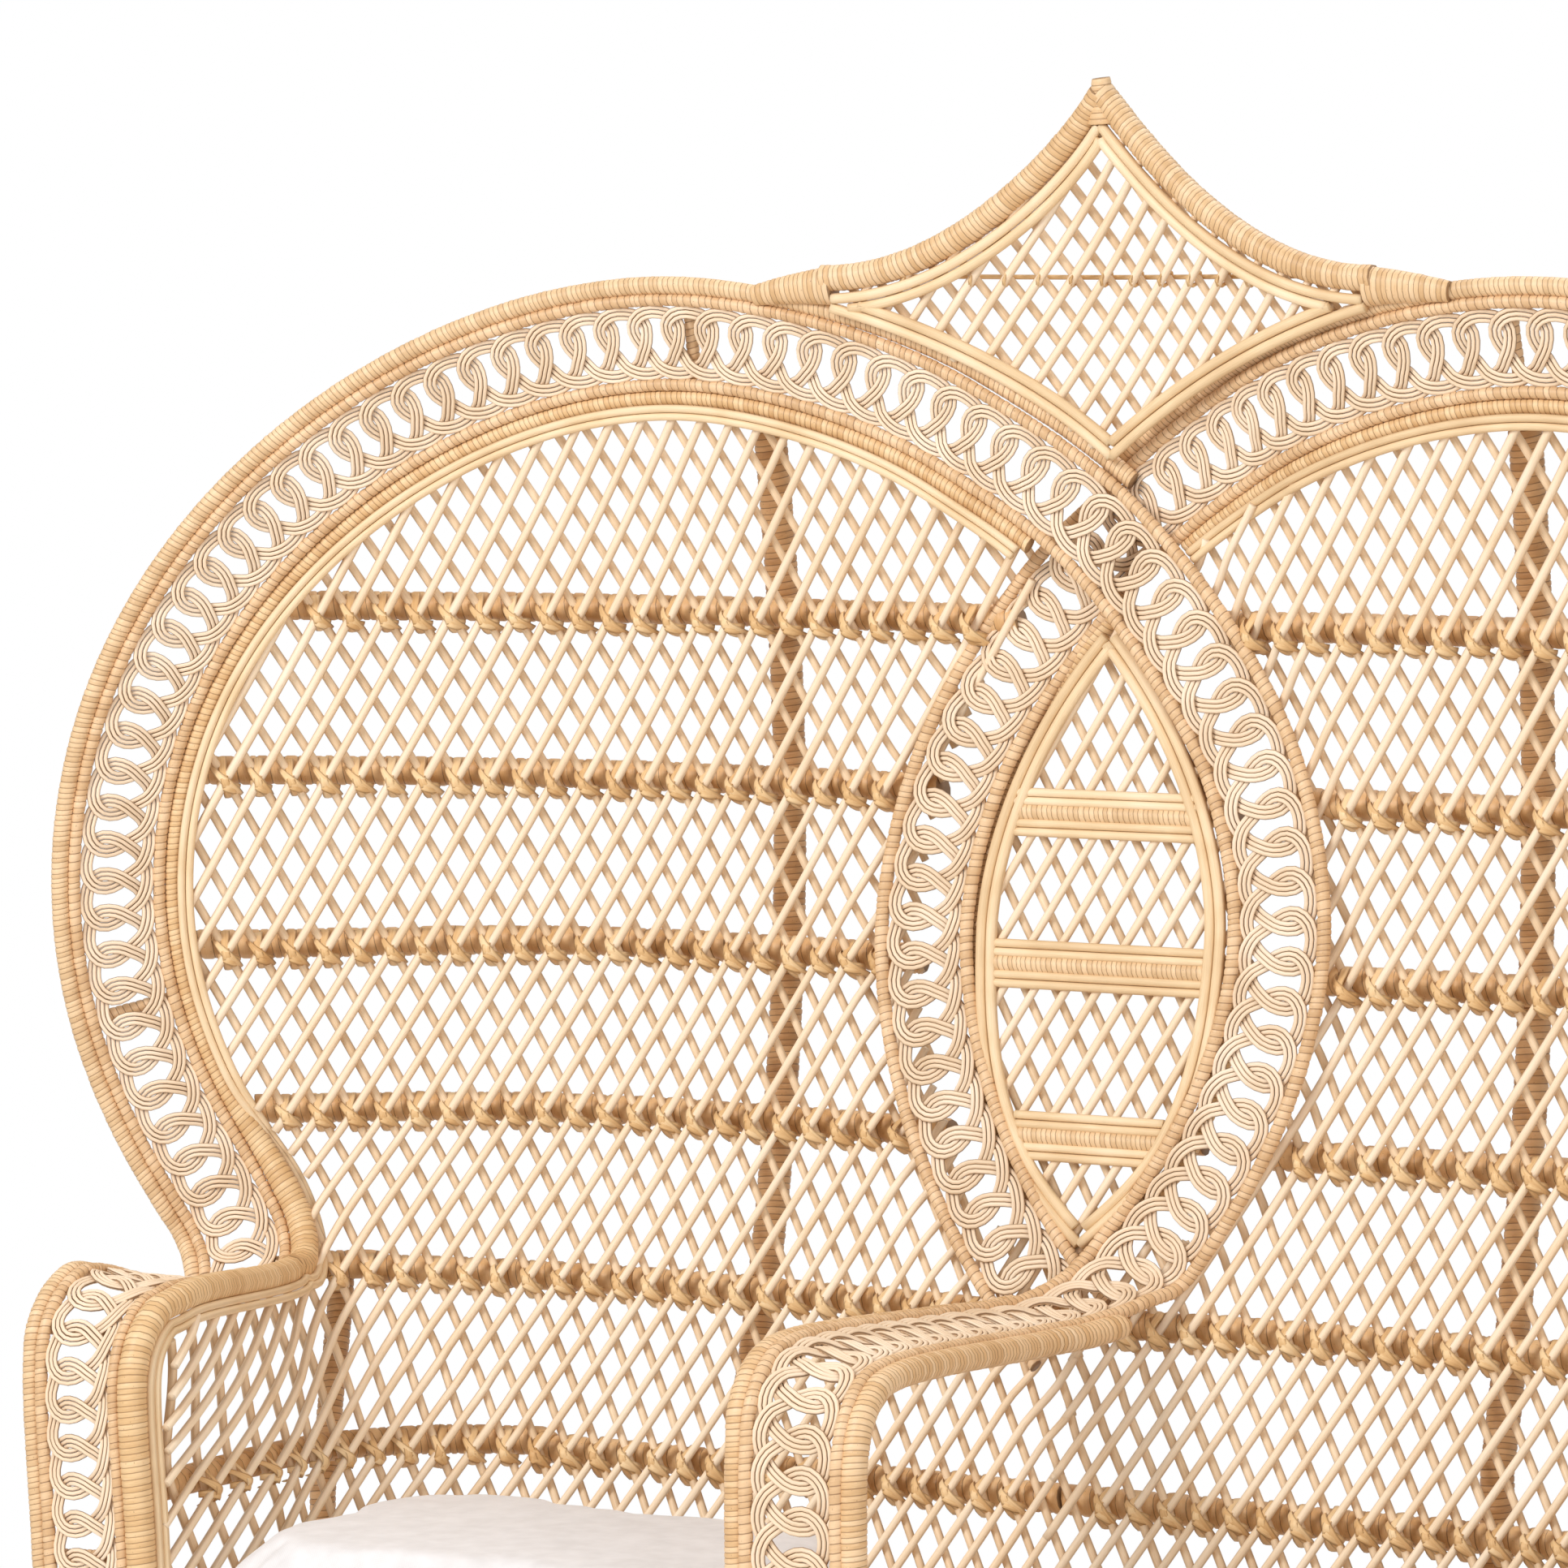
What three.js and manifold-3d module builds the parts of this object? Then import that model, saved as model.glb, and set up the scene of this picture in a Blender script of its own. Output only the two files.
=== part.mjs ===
// Two-seat peacock chair in wrapped rattan. Two round backs overlap in an almond panel under a pointed
// crown, each back runs down into an arm, and the seats stand on a waisted lattice base.
// Millimetres, +Z up, the chair faces -Y, and X = 0 is the plane between the two seats.
import * as THREE from "three";
import Module from "manifold-3d";

// Back: each round back is drawn on a sheet that bows forward at its outer side
const LOBE_X = 353;
const LOBE_Z = 893;
const BORDER_RX_OUT = 413;
const BORDER_RX_IN = 517;
const BORDER_SWELL = 17;
const BORDER_RZ = 432;
const BACK_Y = 222.8;
const SHEET_Z = 880;
const SHEET_UNIT = 500;
const SHEET_LOWEST = -0.95;
const LOBE_PROFILE = [0, 25, -80, 2];
const MIDDLE_PROFILE = [-15, 54, -41, 0];
const BOW = 0.00177;
const BOW_GROWTH = 0.32;

// Border: strips laid side by side across a ribbon, measured outward from its middle line
const RIM_R = 7.5;
const BINDING_R = 4.2;
const FRAME_R = 9;
const LOOP_HALF = 28.6;
const FIT_GAP = 0.5;
const BINDING_AT = LOOP_HALF + FIT_GAP + BINDING_R;
const RIM_AT = BINDING_AT + BINDING_R + FIT_GAP + RIM_R;
const FRAME_AT = BINDING_AT + BINDING_R + FIT_GAP + FRAME_R;
const MOULDING_WIDE = 12;
const MOULDING_THICK = 6;
const MOULDING_AT = FRAME_AT + FRAME_R + 3 + MOULDING_WIDE / 2;
const CROSS_LIFT = 9.6;

// Loops of the border: a flat bundle of cores that runs forward and doubles back on itself
const LOOP_PITCH = 68;
const LOOP_REACH = 0.55;
const LOOP_STEPS = 6;
const BUNDLE_WIDE = 9;
const BUNDLE_THICK = 2.6;
const BUNDLE_RISE = 2.8;
const LOOP_ROOM = 1.4;

// Arms: they reach from the round backs to a little behind the front of the seat
const ARM_Z = 620;
const ARM_BEND = 62;
const ROOT_BEND = 34;
const SEAT_RY = 180;
const SEAT_MID_Y = BACK_Y - SEAT_RY - 105;
const SIDE_FRONT_Y = SEAT_MID_Y - 0.75 * SEAT_RY;
const CENTRE_FRONT_Y = SIDE_FRONT_Y - 50;
const ROOT_X = LOBE_X + BORDER_RX_OUT - 85;
const NECK_X = ROOT_X + 16;
const FRONT_X = ROOT_X - 47;
const FOOT_X = FRONT_X - 12;

// Lattice: two layers of sticks on hoops, with rails and a post behind
const STICK_R = 3.5;
const STICK_LIFT = 3.9;
const STICK_STEP = 84;
const STICK_SLOPE = 0.607;
const SHORTEST_STICK = 24;
const HOOP_R = 8.2;
const BEND_ROOM = 1.6;
const RAIL_ROOM = 5.2;
const TRIM_ROOM = 4.2;
const FLAT_ROOM = 0.9;
const TRIM_LIFT = STICK_LIFT + STICK_R + TRIM_ROOM + MOULDING_THICK / 2;
const RAIL_R = 8;
const RAIL_LIFT = STICK_LIFT + STICK_R + RAIL_ROOM + RAIL_R;
const RAIL_STEP = 128;
const RAIL_TOP_Z = LOBE_Z + 223;
const RAIL_COUNT = 6;
const POST_X = 320;
const POST_R = 12;
const POST_LIFT = RAIL_LIFT + RAIL_R + POST_R - 4;
const SIDE_POST_R = 11;

// Crown and almond panel
const CROWN_RIM_R = 9;
const CROWN_BASE_X = 250;
const CROWN_BASE_Z = LOBE_Z + BORDER_RZ + 38;
const CROWN_RISE = 0.00232;
const JOINT_WRAP = 1.5;
const JOINT_RISE = 3;
const CANE_R = 3.5;
const CANE_Z = CROWN_BASE_Z + 15;
const ALMOND_R = 8;
const BAR_HEIGHTS = [LOBE_Z + 82, LOBE_Z - 42, LOBE_Z - 169];
const BAR_TALL = 34;
const BAR_THICK = 5;

// Seat and base; a six-sided pole lies with two flats level, so it is lower than its radius
const HEX_HEIGHT = Math.sqrt(3) / 2;
const SEAT_RX = FRONT_X + 42;
const SEAT_RING_R = 12;
const SEAT_RING_Z = 330;
const FLOOR_RX = SEAT_RX + 30;
const FLOOR_RY = SEAT_RY + 16;
const FLOOR_BAND = 22;
const BASE_STICKS = 18;
const BASE_TWIST = 2;
const BASE_LIFT = 8;
const LEG_R = 13;
const DECK_Z = SEAT_RING_Z + SEAT_RING_R * HEX_HEIGHT + FIT_GAP;
const DECK_THICK = 14;
const CENTRE_ROOM = 76;
const SIDE_ROOM = 86;
const CUSHION_HALF_X = (FRONT_X - SIDE_ROOM - CENTRE_ROOM) / 2;
const CUSHION_HALF_Y = SEAT_RY - 8;
const CUSHION_X = CENTRE_ROOM + CUSHION_HALF_X;
const CUSHION_THICK = 96;

const wasm = await Module();
wasm.setup();

const peel = new THREE.MeshStandardMaterial({ color: 0xd9ae72, roughness: 0.6 });
const core = new THREE.MeshStandardMaterial({ color: 0xe8cfa3, roughness: 0.65 });
const cloth = new THREE.MeshStandardMaterial({ color: 0xe9e2d6, roughness: 0.95 });

const V = (x, y, z) => new THREE.Vector3(x, y, z);
const FORWARD = V(0, -1, 0);
const UP = V(0, 0, 1);
const group = new THREE.Group();
group.name = "peacock_chair";

function add(name, geometry, material) {
  geometry.computeVertexNormals();
  const mesh = new THREE.Mesh(geometry, material);
  mesh.name = name;
  group.add(mesh);
}

// A closed skin from points and triangles, turned outward
function skin(points, faces) {
  let volume = 0;
  for (const [a, b, c] of faces) {
    volume += points[a].dot(V(0, 0, 0).crossVectors(points[b], points[c]));
  }
  const geometry = new THREE.BufferGeometry();
  const flat = points.flatMap((p) => [p.x, p.y, p.z]);
  const order = faces.flatMap(([a, b, c]) => (volume > 0 ? [a, b, c] : [a, c, b]));
  geometry.setAttribute("position", new THREE.Float32BufferAttribute(flat, 3));
  geometry.setIndex(order);
  return geometry;
}

// A profile carried along a line of points, with its second axis held to the given normals
function sweep(points, normals, profile, closed = false) {
  const count = points.length;
  const sides = profile.length;
  const ring = [];
  for (let i = 0; i < count; i++) {
    const next = closed ? points[(i + 1) % count] : points[Math.min(i + 1, count - 1)];
    const last = closed ? points[(i + count - 1) % count] : points[Math.max(i - 1, 0)];
    const along = next.clone().sub(last).normalize();
    const normal = normals[i].clone().addScaledVector(along, -normals[i].dot(along)).normalize();
    const across = along.clone().cross(normal);
    for (const [a, b] of profile) {
      ring.push(points[i].clone().addScaledVector(across, a).addScaledVector(normal, b));
    }
  }
  const faces = [];
  const spans = closed ? count : count - 1;
  for (let i = 0; i < spans; i++) {
    const here = i * sides;
    const there = ((i + 1) % count) * sides;
    for (let j = 0; j < sides; j++) {
      const k = (j + 1) % sides;
      faces.push([here + j, there + j, there + k], [here + j, there + k, here + k]);
    }
  }
  if (!closed) {
    const end = (count - 1) * sides;
    for (let j = 1; j < sides - 1; j++) {
      faces.push([0, j, j + 1], [end, end + j + 1, end + j]);
    }
  }
  return skin(ring, faces);
}

function round(radius, sides) {
  const profile = [];
  for (let j = 0; j < sides; j++) {
    const angle = (2 * Math.PI * j) / sides;
    profile.push([radius * Math.cos(angle), radius * Math.sin(angle)]);
  }
  return profile;
}

// A pole with its inner side flattened, where the ends of the sticks seat
function hoop(radius) {
  const share = [[-0.6, -0.92], [0.4, -1], [1, -0.45], [1, 0.45], [0.4, 1], [-0.6, 0.92]];
  return share.map(([a, b]) => [a * radius, b * radius]);
}

function flat(wide, thick) {
  const a = wide / 2;
  const b = thick / 2;
  return [[a, -b], [a, b], [-a, b], [-a, -b]];
}

function solid(geometry) {
  const position = geometry.getAttribute("position").array;
  const mesh = new wasm.Mesh({
    numProp: 3,
    vertProperties: new Float32Array(position),
    triVerts: new Uint32Array(geometry.index.array),
  });
  return new wasm.Manifold(mesh);
}

function joined(geometries) {
  const mesh = wasm.Manifold.union(geometries.map(solid)).getMesh();
  const geometry = new THREE.BufferGeometry();
  geometry.setAttribute("position", new THREE.Float32BufferAttribute(mesh.vertProperties, 3));
  geometry.setIndex(Array.from(mesh.triVerts));
  return geometry;
}

function mirrored(points, side) {
  return points.map((p) => V(p.x * side, p.y, p.z));
}

function profileY(profile, h) {
  return profile[0] + profile[1] * h + profile[2] * h * h + profile[3] * h * h * h;
}

// The sheet of the back; x runs outward from the mid-plane, and across the plane the sheet stays level
function sheetY(x, z) {
  const h = Math.max((z - SHEET_Z) / SHEET_UNIT, SHEET_LOWEST);
  const out = Math.max(x, 0) - LOBE_X;
  const lobeY = profileY(LOBE_PROFILE, h);
  const middleY = profileY(MIDDLE_PROFILE, h);
  if (out < 0) return BACK_Y + lobeY + (middleY - lobeY) * (out / LOBE_X) ** 2;
  return BACK_Y + lobeY - 0.5 * BOW * (1 + BOW_GROWTH * h) * out * out;
}

function sheetNormal(x, z) {
  const d = 2;
  const slopeX = (sheetY(x + d, z) - sheetY(x - d, z)) / (2 * d);
  const slopeZ = (sheetY(x, z + d) - sheetY(x, z - d)) / (2 * d);
  return V(slopeX, -1, slopeZ).normalize();
}

function onSheet(x, z, lift = 0) {
  return V(x, sheetY(x, z), z).addScaledVector(sheetNormal(x, z), lift);
}

const deg = Math.PI / 180;
const TOP_CROSS = Math.acos(-LOBE_X / BORDER_RX_IN);
const NECK = -29 * deg;
const LEADING_END = 208 * deg;
const TRAILING_END = 221 * deg;

// The middle line of a looped border round the back, moved outward in its own plane. Its outer half is
// fuller above the neck, where it comes up from the arm.
function lobe(angle, outward = 0) {
  const full = BORDER_SWELL * THREE.MathUtils.smoothstep(angle, NECK, 0);
  const wide = Math.cos(angle) > 0 ? BORDER_RX_OUT + full : BORDER_RX_IN;
  const across = BORDER_RZ * Math.cos(angle);
  const up = wide * Math.sin(angle);
  const size = Math.hypot(across, up);
  const x = LOBE_X + wide * Math.cos(angle) + (outward * across) / size;
  const z = LOBE_Z + BORDER_RZ * Math.sin(angle) + (outward * up) / size;
  return [x, z];
}

function quarter(turn) {
  return [0, 1, 2, 3].map((i) => turn(i * 30 * deg, i / 3));
}

// Stations of a border, from the foot of its side arm, over the round back, to the far end.
// Both borders are drawn outward from the mid-plane; the leading one goes on into the centre arm.
function borderStations(leading) {
  const stations = [];
  const put = (p, n) => stations.push({ p, n: n.clone() });
  put(V(FOOT_X, SIDE_FRONT_Y, DECK_Z), FORWARD);
  put(V((FOOT_X + FRONT_X) / 2, SIDE_FRONT_Y, (DECK_Z + ARM_Z - ARM_BEND) / 2), FORWARD);
  quarter((a) => {
    const n = V(0, -Math.cos(a), Math.sin(a));
    put(V(FRONT_X, SIDE_FRONT_Y + ARM_BEND, ARM_Z - ARM_BEND).addScaledVector(n, ARM_BEND), n);
  });
  const rootY = sheetY(ROOT_X, ARM_Z + ROOT_BEND);
  quarter((a, part) => {
    const n = V(0, -Math.sin(a), Math.cos(a));
    const x = ROOT_X + part * part * (NECK_X - ROOT_X);
    put(V(x, rootY - ROOT_BEND, ARM_Z + ROOT_BEND).addScaledVector(n, -ROOT_BEND), n);
  });
  const end = leading ? LEADING_END : TRAILING_END;
  const steps = 40;
  for (let i = 0; i <= steps; i++) {
    const angle = NECK + ((end - NECK) * i) / steps;
    const [x, z] = lobe(angle);
    const away = Math.abs(angle - TOP_CROSS) * BORDER_RX_IN;
    const near = THREE.MathUtils.smoothstep(200 - away, 0, 90);
    put(onSheet(x, z, near * (leading ? CROSS_LIFT : -CROSS_LIFT)), sheetNormal(x, z));
  }
  if (leading) {
    const wallY = sheetY(0, ARM_Z);
    put(V(-64, wallY - 16, ARM_Z + 20), V(0.1, -0.8, 0.6).normalize());
    put(V(-32, wallY - 62, ARM_Z + 2), V(0, -0.2, 0.98).normalize());
    put(V(-6, wallY - 140, ARM_Z), UP);
    quarter((a) => {
      const n = V(0, -Math.sin(a), Math.cos(a));
      put(V(0, CENTRE_FRONT_Y + ARM_BEND, ARM_Z - ARM_BEND).addScaledVector(n, ARM_BEND), n);
    });
    put(V(0, CENTRE_FRONT_Y, (DECK_Z + ARM_Z - ARM_BEND) / 2), FORWARD);
    put(V(0, CENTRE_FRONT_Y, DECK_Z), FORWARD);
  }
  return stations;
}

// Stations joined by a smooth curve and laid out closer together where it bends
function ribbon(stations, straight, turn) {
  const path = new THREE.CatmullRomCurve3(stations.map((s) => s.p), false, "centripetal");
  const normals = new THREE.CatmullRomCurve3(stations.map((s) => s.n), false, "catmullrom");
  const fine = 1200;
  const dense = [];
  for (let i = 0; i <= fine; i++) {
    const here = { p: path.getPoint(i / fine), n: normals.getPoint(i / fine), length: 0, weight: 0 };
    if (i > 0) {
      const last = dense[i - 1];
      const step = here.p.distanceTo(last.p);
      here.along = here.p.clone().sub(last.p).normalize();
      here.length = last.length + step;
      here.weight = last.weight + step / straight;
      if (last.along) here.weight += here.along.angleTo(last.along) / (turn * deg);
    }
    dense.push(here);
  }
  const count = Math.round(dense[fine].weight);
  const laid = [];
  let at = 0;
  for (let i = 0; i <= count; i++) {
    const target = (dense[fine].weight * i) / count;
    while (at < fine - 1 && dense[at + 1].weight < target) at++;
    const [low, high] = [dense[at], dense[at + 1]];
    const mix = Math.min(1, (target - low.weight) / (high.weight - low.weight));
    const along = high.along.clone();
    const n = low.n.clone().lerp(high.n, mix);
    n.addScaledVector(along, -n.dot(along)).normalize();
    const length = low.length + mix * (high.length - low.length);
    laid.push({ p: low.p.clone().lerp(high.p, mix), n, across: along.cross(n), length });
  }
  return laid;
}

// A strip of the border, kept to one side of its middle line
function strip(laid, side, outward, lift, profile, from = 0, to = 1) {
  const first = Math.round(from * (laid.length - 1));
  const last = Math.round(to * (laid.length - 1));
  const part = laid.slice(first, last + 1);
  const points = part.map((s) => s.p.clone().addScaledVector(s.across, outward).addScaledVector(s.n, lift));
  const normals = part.map((s) => V(s.n.x * side, s.n.y, s.n.z));
  return sweep(mirrored(points, side), normals, profile);
}

// The looped bundle: w across the border, s along it, and a rise that carries one leg over the other
function loops(laid, side, label) {
  const total = laid[laid.length - 1].length;
  const turns = Math.floor(total / LOOP_PITCH) - 1;
  const start = (total - turns * LOOP_PITCH) / 2;
  const half = LOOP_HALF - LOOP_ROOM - BUNDLE_WIDE / 2;
  const points = [];
  const normals = [];
  const placed = [];
  for (let i = 0; i <= turns * LOOP_STEPS; i++) {
    const t = (2 * Math.PI * i) / LOOP_STEPS;
    const w = -half * Math.cos(t);
    const s = start + (LOOP_PITCH * t) / (2 * Math.PI) + LOOP_REACH * LOOP_PITCH * Math.sin(t);
    const rise = BUNDLE_RISE * Math.sin(t);
    const at = THREE.MathUtils.clamp((s / total) * (laid.length - 1), 0, laid.length - 1.001);
    const low = laid[Math.floor(at)];
    const high = laid[Math.floor(at) + 1];
    const mix = at - Math.floor(at);
    const p = low.p.clone().lerp(high.p, mix);
    const n = low.n.clone().lerp(high.n, mix).normalize();
    const across = low.across.clone().lerp(high.across, mix).normalize();
    points.push(p.addScaledVector(across, w).addScaledVector(n, rise));
    normals.push(V(n.x * side, n.y, n.z));
    placed.push([s, w, rise]);
  }
  let least = Infinity;
  for (let i = 0; i < placed.length; i++) {
    for (let j = i + 3; j < Math.min(placed.length, i + 2 * LOOP_STEPS); j++) {
      const flatGap = Math.hypot(placed[i][0] - placed[j][0], placed[i][1] - placed[j][1]);
      const riseGap = Math.abs(placed[i][2] - placed[j][2]) - BUNDLE_THICK;
      if (flatGap < BUNDLE_WIDE) least = Math.min(least, riseGap);
      else least = Math.min(least, Math.hypot(flatGap - BUNDLE_WIDE, Math.max(riseGap, 0)));
    }
  }
  console.log(`${label}: ${turns} loops, least gap to itself ${least.toFixed(2)} mm`);
  return sweep(mirrored(points, side), normals, flat(BUNDLE_WIDE, BUNDLE_THICK));
}

// Straight lines of a lattice, cut to a closed outline in two coordinates
function latticeLines(outline, slope, step, shift = 0) {
  const lines = [];
  const values = outline.map(([a, b]) => a - slope * b);
  const low = Math.min(...values);
  const high = Math.max(...values);
  for (let c = Math.ceil((low - shift) / step) * step + shift; c < high; c += step) {
    const hits = [];
    for (let i = 0; i < outline.length; i++) {
      const [a0, b0] = outline[i];
      const [a1, b1] = outline[(i + 1) % outline.length];
      const d0 = a0 - slope * b0 - c;
      const d1 = a1 - slope * b1 - c;
      if (d0 < 0 === d1 < 0) continue;
      hits.push(b0 + ((b1 - b0) * d0) / (d0 - d1));
    }
    hits.sort((p, q) => p - q);
    for (let i = 0; i + 1 < hits.length; i += 2) {
      const [b0, b1] = [hits[i], hits[i + 1]];
      if (b1 - b0 > SHORTEST_STICK) lines.push([c + slope * b0, b0, c + slope * b1, b1]);
    }
  }
  return lines;
}

// A lattice panel: one hoop along the outline and two layers of sticks that end inside it
function panel(outline, place, normal, hoopR, step, segments, lean = 1) {
  const hoopPoints = outline.map(([a, b]) => place(a, b, 0));
  const hoopNormals = outline.map(([a, b]) => normal(a, b));
  const pieces = [sweep(hoopPoints, hoopNormals, hoop(hoopR), true)];
  for (const layer of [1, -1]) {
    for (const [a0, b0, a1, b1] of latticeLines(outline, layer * lean * STICK_SLOPE, step, step / 4)) {
      const points = [];
      const normals = [];
      for (let i = 0; i <= segments; i++) {
        const a = a0 + ((a1 - a0) * i) / segments;
        const b = b0 + ((b1 - b0) * i) / segments;
        points.push(place(a, b, layer * STICK_LIFT));
        normals.push(normal(a, b));
      }
      pieces.push(sweep(points, normals, round(STICK_R, 3)));
    }
  }
  return joined(pieces);
}

function reflect(geometry, side) {
  if (side > 0) return geometry;
  const position = geometry.getAttribute("position");
  for (let i = 0; i < position.count; i++) position.setX(i, -position.getX(i));
  const order = Array.from(geometry.index.array);
  for (let i = 0; i < order.length; i += 3) [order[i + 1], order[i + 2]] = [order[i + 2], order[i + 1]];
  geometry.setIndex(order);
  return geometry;
}

function spread(from, to, count) {
  return Array.from({ length: count + 1 }, (_, i) => from + ((to - from) * i) / count);
}

// First point where two open outlines cross, with the leg of each that leads to and from it
function meet(first, second) {
  for (let i = 0; i + 1 < first.length; i++) {
    for (let j = 0; j + 1 < second.length; j++) {
      const [p, q, r, s] = [first[i], first[i + 1], second[j], second[j + 1]];
      const d = (q[0] - p[0]) * (s[1] - r[1]) - (q[1] - p[1]) * (s[0] - r[0]);
      const t = ((r[0] - p[0]) * (s[1] - r[1]) - (r[1] - p[1]) * (s[0] - r[0])) / d;
      const u = ((r[0] - p[0]) * (q[1] - p[1]) - (r[1] - p[1]) * (q[0] - p[0])) / d;
      if (t < 0 || t > 1 || u < 0 || u > 1) continue;
      const cross = [p[0] + t * (q[0] - p[0]), p[1] + t * (q[1] - p[1])];
      return [...first.slice(0, i + 1), cross, ...second.slice(j + 1)];
    }
  }
  throw new Error("the two outlines do not meet");
}

// Looped borders and the strips beside them
const leadingStations = borderStations(true);
const trailingStations = borderStations(false);
const LAID = { straight: 150, turn: 21 };
const rimEnds = {};
for (const side of [-1, 1]) {
  const name = side < 0 ? "left" : "right";
  const stations = side < 0 ? leadingStations : trailingStations;
  const laid = ribbon(stations, LAID.straight, LAID.turn);
  const even = ribbon(stations, 10, 90);
  const last = laid.length - 1;
  const rimEnd = (laid.findIndex((s) => s.p.z > LOBE_Z && s.p.x < CROWN_BASE_X + 24) - 1) / last;
  const rimStation = laid[Math.round(rimEnd * last)];
  rimEnds[name] = rimStation.p.clone().addScaledVector(rimStation.across, RIM_AT);
  const trimStop = side < 0 ? 130 : 210;
  const frameEnd = laid.findIndex((s) => s.p.z > LOBE_Z && s.p.x < trimStop) / last;
  const root = laid.findIndex((s) => s.n.z < 0.9 && s.p.z > ARM_Z && s.p.y > SIDE_FRONT_Y + 120) / last;
  add(`${name}_outer_rim`, strip(laid, side, RIM_AT, -2, round(RIM_R, 6), 0, rimEnd), peel);
  add(`${name}_outer_binding`, strip(laid, side, BINDING_AT, 0, round(BINDING_R, 4)), peel);
  add(`${name}_inner_binding`, strip(laid, side, -BINDING_AT, 0, round(BINDING_R, 4)), peel);
  add(`${name}_looped_border`, loops(even, side, `${name} looped border`), core);
  add(`${name}_arm_inner_rail`, strip(laid, side, -FRAME_AT, 0, round(FRAME_R, 6), 0, root), peel);
  const trim = flat(MOULDING_WIDE, MOULDING_THICK);
  add(`${name}_moulding`, strip(laid, side, -MOULDING_AT, TRIM_LIFT, trim, 0, frameEnd), core);
  if (side < 0) {
    const arm = laid.findIndex((s) => s.p.x < 0 && s.p.y < sheetY(0, ARM_Z) - 130) / last;
    add("centre_arm_right_rail", strip(laid, side, RIM_AT, -2, round(RIM_R, 6), arm), peel);
    add("centre_arm_left_rail", strip(laid, side, -RIM_AT, -2, round(RIM_R, 6), arm), peel);
  }
}

// Round backs: hoop and lattice on the sheet, with post and rails behind
const LOW_Z = DECK_Z + FRAME_R + FIT_GAP;
const SIDE_LINE = [
  [FOOT_X - 24, LOW_Z], [FOOT_X - 18, ARM_Z - 180], [FOOT_X - 6, ARM_Z - 80], [FRONT_X, ARM_Z],
];
const CLEAR_OF_BORDER = BINDING_AT + BINDING_R + 1.2 + FRAME_R;
const ownRound = spread(-26 * deg, 165 * deg, 24).map((a) => lobe(a, -FRAME_AT - FIT_GAP));
const ownEdge = [...SIDE_LINE, ...ownRound];
const otherEdge = spread(110 * deg, 232 * deg, 20)
  .map((a) => lobe(a, CLEAR_OF_BORDER))
  .filter(([x, z]) => x < (z > LOBE_Z ? 0 : -64))
  .map(([x, z]) => [-x, z]);
const INNER_X = 70;
const innerLine = [
  [INNER_X + 2, ARM_Z - 60], [INNER_X + 1, ARM_Z - 138], [INNER_X, ARM_Z - 210], [INNER_X, LOW_Z],
];
const backOutline = meet(ownEdge, [...otherEdge, ...innerLine]);
for (const x of spread(INNER_X, SIDE_LINE[0][0], 4).slice(1, -1)) backOutline.push([x, LOW_Z]);

function span(outline, z) {
  const hits = [];
  for (let i = 0; i < outline.length; i++) {
    const [x0, z0] = outline[i];
    const [x1, z1] = outline[(i + 1) % outline.length];
    if (z0 < z !== z1 < z) hits.push(x0 + ((x1 - x0) * (z - z0)) / (z1 - z0));
  }
  return [Math.min(...hits), Math.max(...hits)];
}

// A rail behind the sticks; its ends lie against the back of the hoop, or stop short of the side post
function crossRail(outline, z, outerInset, parts) {
  const [low, high] = span(outline, z);
  const xs = spread(low, high - outerInset, parts);
  const points = xs.map((x, i) => {
    const onHoop = i === 0 || (i === parts && outerInset === 0);
    return onSheet(x, z, -(onHoop ? FRAME_R + FIT_GAP + RAIL_R : RAIL_LIFT));
  });
  return sweep(points, xs.map((x) => sheetNormal(x, z)), round(RAIL_R, 4));
}

for (const side of [-1, 1]) {
  const name = side < 0 ? "left" : "right";
  const lattice = panel(backOutline, onSheet, sheetNormal, FRAME_R, STICK_STEP, 4, side);
  add(`${name}_back_lattice`, reflect(lattice, side), core);
  const pieces = [];
  const straightZ = DECK_Z + 114;
  const heights = [0, straightZ, ARM_Z + 40, LOBE_Z - 13, LOBE_Z + 197, LOBE_Z + 392];
  const postPoints = heights.map((z) => onSheet(POST_X, Math.max(z, straightZ), -POST_LIFT).setZ(z));
  pieces.push(sweep(postPoints, heights.map(() => FORWARD), round(POST_R, 6)));
  for (let i = 0; i < RAIL_COUNT; i++) {
    const z = RAIL_TOP_Z - i * RAIL_STEP;
    pieces.push(crossRail(backOutline, z, z < ARM_Z ? SIDE_POST_R + RAIL_R : 0, 6));
  }
  add(`${name}_back_post`, reflect(joined(pieces), side), peel);
  const sideHeights = [DECK_Z, ARM_Z - 180, ARM_Z - 80, ARM_Z - 20];
  const sideX = [FOOT_X - 18, FOOT_X - 18, FOOT_X - 6, FRONT_X - 4];
  const sideLift = FRAME_R + BEND_ROOM + SIDE_POST_R;
  const sidePoints = sideHeights.map((z, i) => {
    return onSheet(sideX[i], Math.max(z, ARM_Z - 180), -sideLift).setZ(z);
  });
  const sidePost = sweep(sidePoints, sideHeights.map(() => FORWARD), round(SIDE_POST_R, 6));
  add(`${name}_side_post`, reflect(sidePost, side), peel);
}

// Almond panel between the two borders, with ladder bars in front and rails behind
function almond(inward) {
  const half = spread(120 * deg, 240 * deg, 28).map((a) => lobe(a, -inward)).filter(([x]) => x < -6);
  return [...half, ...half.map(([x, z]) => [-x, z]).reverse()];
}

function onMiddle(x, z, lift) {
  return onSheet(-Math.abs(x), z, lift).setX(x);
}

function middleNormal(x, z) {
  return sheetNormal(-200, z);
}

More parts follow.
